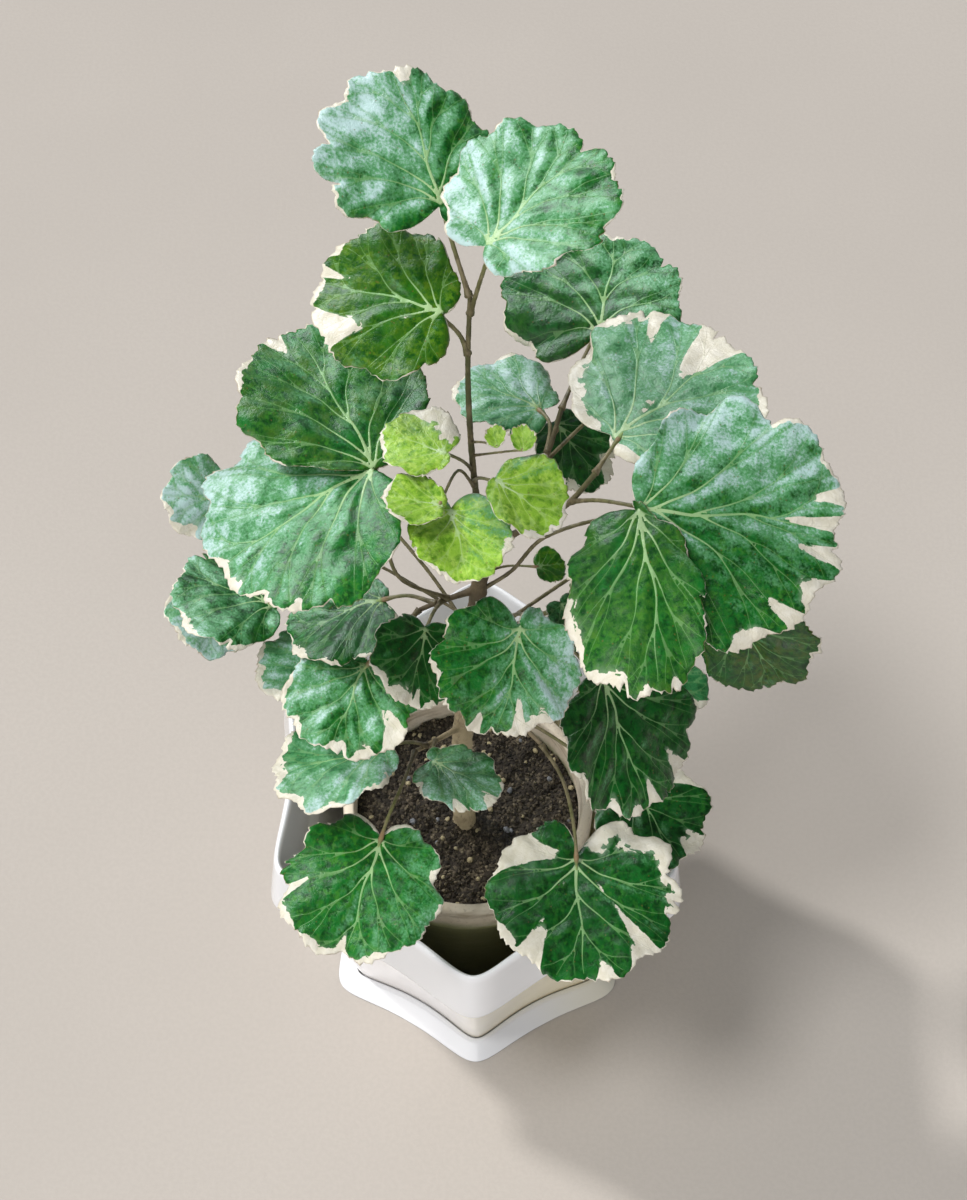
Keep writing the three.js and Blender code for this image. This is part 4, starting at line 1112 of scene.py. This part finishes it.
def blade_body(blade, seed, at):
    """Closed body of one blade: points, faces, face material numbers and point values."""
    plan = BladePlan(blade, seed)
    runs = plan.veins()
    flat, faces = cut_blade(plan, runs)
    x, y = flat.T
    angle, share = plan.place(x, y)
    gap, which = nearest(flat, np.vstack([points for _, points, _ in runs]))
    wide = np.concatenate([widths for _, _, widths in runs])[which]
    from_main, _ = nearest(flat, np.vstack([points for rank, points, _ in runs if rank < 2]))
    rim, _ = nearest(flat, np.column_stack(plan.outline(plan.angles)))
    size = min(1.0, plan.radius / 30)

    # Middle surface, puffed between the veins, then the two faces, with ridges on the veins.
    r = RELIEF
    level = plan.height(x, y, share, angle)
    lift = r["puff"] * (1 + ripples(x, y, seed, 12, 24)) * (1 - bell(from_main, r["puff_wide"]))
    lift += r["quilt"] * (1 - bell(gap, r["quilt_wide"]))
    lift += r["buckle"] * ripples(x, y, seed + 4, 10, 20) + r["crinkle"] * ripples(x, y, seed + 8, 4, 7)
    lift += r["frill"] * np.clip(share, 0, 1) ** 5 * np.sin(9 * angle + seed * 2.1)
    lift -= r["edge"] * np.exp(-rim / r["edge_wide"])
    lift *= size
    half = 0.5 * (RIM_THICK + (BLADE_THICK - RIM_THICK) * np.clip(rim / RIM_WIDE, 0, 1)) * (0.5 + 0.5 * size)
    ridge = np.clip(1 - (gap / (wide + 0.3)) ** 2, 0, 1)
    over = level + lift + half + ridge * 0.42 * wide
    under = level + lift - half - ridge * (0.20 + 0.75 * wide)
    basis = turn_matrix(blade.turn)
    top, bottom = (np.column_stack([x, y, face]) @ basis + at for face in (over, under))
    count = len(flat)
    sides = {(f[i], f[(i + 1) % 3]) for f in faces for i in range(3)}
    walls = [[v, u, u + count, v + count] for u, v in sides if (v, u) not in sides]
    back = [[f[0] + count, f[2] + count, f[1] + count] for f in faces]

    # What the finishes paint by.
    # Paleness: a pale flank that is partly painted sheen, and painted sheen on the slopes that lean towards
    # it.
    base, lean, flank = blade.milk
    flank = math.radians(flank)
    folds = slopes(x, y, lift, faces) @ np.array([math.cos(flank), math.sin(flank)])
    milk = base + lean * np.minimum(share, 1) * np.cos(angle - flank) + FOLD_PAINTED_SHEEN * folds
    cream = cream_depth(plan, angle)
    marks = {
        "vein": gap - wide, "wide": wide, "rim": rim, "share": share, "depth": cream,
        "edge": np.minimum(cream - rim, CREAM_CURB * (share - CREAM_END)),
        "milk": np.minimum(milk, 1.4 * base + 0.4),
        "bronze": np.full(count, blade.bronze),
        "blade": np.column_stack([x + 137.0 * plan.seed, y - 71.0 * plan.seed, np.zeros(count)]),
        "along": np.full(count, 2.0),
    }
    marks = {name: np.concatenate([value, value]) for name, value in marks.items()}
    numbers = [0] * (len(faces) + len(walls)) + [1] * len(back)
    return np.vstack([top, bottom]), faces + walls + back, numbers, marks


def stalk_body(leaf):
    """Closed body of the leaf stalk, swollen where it leaves the wood and where the blade sits."""
    blade = leaf.blades[0]
    reach = STALK_REACH * blade.size[0]
    end = np.array([reach, 0, 0.05]) @ turn_matrix(blade.turn) + leaf.at
    path = smooth_path([*leaf.stalk, tuple(end)], STALK_STEP)
    length = run_length(path)
    junction = length[-1] - reach
    share = min(1.0, 0.45 + blade.size[0] / 45)
    radius = share * (0.86 - 0.10 * length / length[-1] + 0.85 * np.exp(-length / 3.0)
                      + 0.42 * bell(length - junction, 2.6) + 0.04 * np.sin(length * 1.3))
    radius[length > junction] *= np.linspace(1, 0.45, int((length > junction).sum()))
    verts, faces = tube(path, radius, STALK_SIDES)
    zero = np.zeros(len(verts))
    marks = dict.fromkeys(("vein", "wide", "rim", "share", "depth", "milk", "bronze"), zero)
    marks.update(edge=zero - 9, blade=verts, along=np.repeat(length / max(junction, 1e-6), STALK_SIDES))
    return verts, faces, [2] * len(faces), marks


def make_leaf(leaf, finishes):
    at = np.array(leaf.at, float)
    bodies = [stalk_body(leaf)] + [blade_body(blade, leaf.seed, at) for blade in leaf.blades]
    verts, faces = joined([body[:2] for body in bodies])
    numbers = [number for body in bodies for number in body[2]]
    piece = make_object(f"{leaf.name}_leaf", verts, faces, finishes[leaf.tone], numbers)
    for name in bodies[-1][3]:
        store(piece, name, np.concatenate([body[3][name] for body in bodies]))
    return piece


# Build.


def put_on(piece, node):
    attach(piece, "root")
    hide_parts(node)


put_on(make_saucer(), "saucer")
put_on(make_planter(), "planter")
put_on(make_pot(), "pot")
soil = make_soil_bed()
grit = [
    ("crumbs_dark", earth("dark crumbs", (0.036, 0.028, 0.020), (0.095, 0.076, 0.052), 0.55),
     {"density": 330000.0, "grain_size": 1.05 * MM, "seed": 4, "facets": 1}),
    ("crumbs_brown", earth("brown crumbs", (0.115, 0.092, 0.062), (0.230, 0.190, 0.130), 0.45),
     {"density": 90000.0, "grain_size": 1.25 * MM, "seed": 9, "facets": 1}),
    ("grit_tan", pebble("tan grit", (0.360, 0.300, 0.170), (0.520, 0.450, 0.280)),
     {"density": 5200.0, "grain_size": 1.9 * MM, "seed": 15, "facets": 2}),
    ("grit_grey", pebble("grey grit", (0.120, 0.125, 0.140), (0.290, 0.300, 0.330)),
     {"density": 1600.0, "grain_size": 1.8 * MM, "seed": 22, "facets": 2}),
]
for grit_name, grit_finish, values in grit:
    strewn = strew(soil, grit_name, grit_finish, lowest=(SOIL["level"] - 4) * MM, **values)
    put_on(strewn, "soil")
put_on(soil, "soil")
put_on(make_stem(), "stem")

stalk_finish = leaf_stalk()
leaf_finishes = {tone: [leaf_face(tone), leaf_back(tone), stalk_finish] for tone in TONES}
for leaf in LEAVES:
    put_on(make_leaf(leaf, leaf_finishes), f"leaf_{leaf.name}")


# Floor, light and camera. Lights and camera are placed in metres.

FLOOR_HALF = 12000.0
LIGHTS_AIM = (0.0, 0.0, 0.3)
CAMERA_PLACE = (0.0028, -0.4815, 1.1042)
CAMERA_TILT = 31.7  # from straight down, degrees
CAMERA_LENS = 66.0
CAMERA_FRAME = 36.0  # height of its frame


def make_floor():
    corners = [(x * FLOOR_HALF, y * FLOOR_HALF, 0) for x, y in ((-1, -1), (1, -1), (1, 1), (-1, 1))]
    make_object("floor", corners, [[0, 1, 2, 3]], [paper()], smooth=False)


def add_light(name, kind, place, lit=True, mirrored=True, **settings):
    """A lamp aimed at the plant; with lit off it is only seen in the gloss, and with mirrored off
    the gloss doesn't show it."""
    light = bpy.data.lights.new(name, kind)
    for key, value in settings.items():
        setattr(light, key, value)
    obj = bpy.data.objects.new(name, light)
    bpy.context.scene.collection.objects.link(obj)
    obj.location = place
    obj.visible_diffuse, obj.visible_glossy = lit, mirrored
    obj.rotation_euler = (Vector(LIGHTS_AIM) - Vector(place)).to_track_quat("-Z", "Y").to_euler()


def light_scene():
    """Two soft suns from the left, what the gloss mirrors of a window, and a pale even room."""
    add_light("window", "SUN", (-0.9, 0.55, 1.35), mirrored=False, energy=1.85,
              color=(1.0, 0.985, 0.96), angle=math.radians(5))
    add_light("skylight", "SUN", (-0.75, -0.3, 2.35), mirrored=False, energy=1.45,
              color=(1.0, 1.0, 0.99), angle=math.radians(14))
    add_light("pane", "AREA", (-0.78, 1.14, 1.78), lit=False, energy=36.0, color=(0.90, 0.955, 1.0),
              shape="RECTANGLE", size=1.3, size_y=1.2)
    add_light("back wall", "AREA", (0.1, 1.9, 1.3), lit=False, energy=6.5, color=(0.75, 0.88, 1.0),
              shape="RECTANGLE", size=2.6, size_y=1.2)
    add_light("room", "AREA", (-0.8, -1.8, 1.2), energy=20.0, color=(1.0, 0.98, 0.95),
              shape="RECTANGLE", size=2.2, size_y=1.5)
    world = bpy.data.worlds.new("room")
    world.use_nodes = True
    bpy.context.scene.world = world
    dome = world.node_tree.nodes["Background"]
    dome.inputs["Color"].default_value = (0.94, 0.97, 1.0, 1)
    dome.inputs["Strength"].default_value = 0.36
    world.cycles_visibility.glossy = False


def add_camera():
    """The photograph's place: 58 degrees down, from a little over a metre."""
    camera = bpy.data.cameras.new("camera")
    camera.sensor_fit = "VERTICAL"
    camera.sensor_height = CAMERA_FRAME
    camera.lens = CAMERA_LENS
    obj = bpy.data.objects.new("camera", camera)
    bpy.context.scene.collection.objects.link(obj)
    obj.location = CAMERA_PLACE
    obj.rotation_euler = (math.radians(CAMERA_TILT), 0.0, 0.0)
    bpy.context.scene.camera = obj


make_floor()
light_scene()
add_camera()
bpy.context.scene.view_settings.view_transform = "Standard"

bpy.context.view_layer.update()
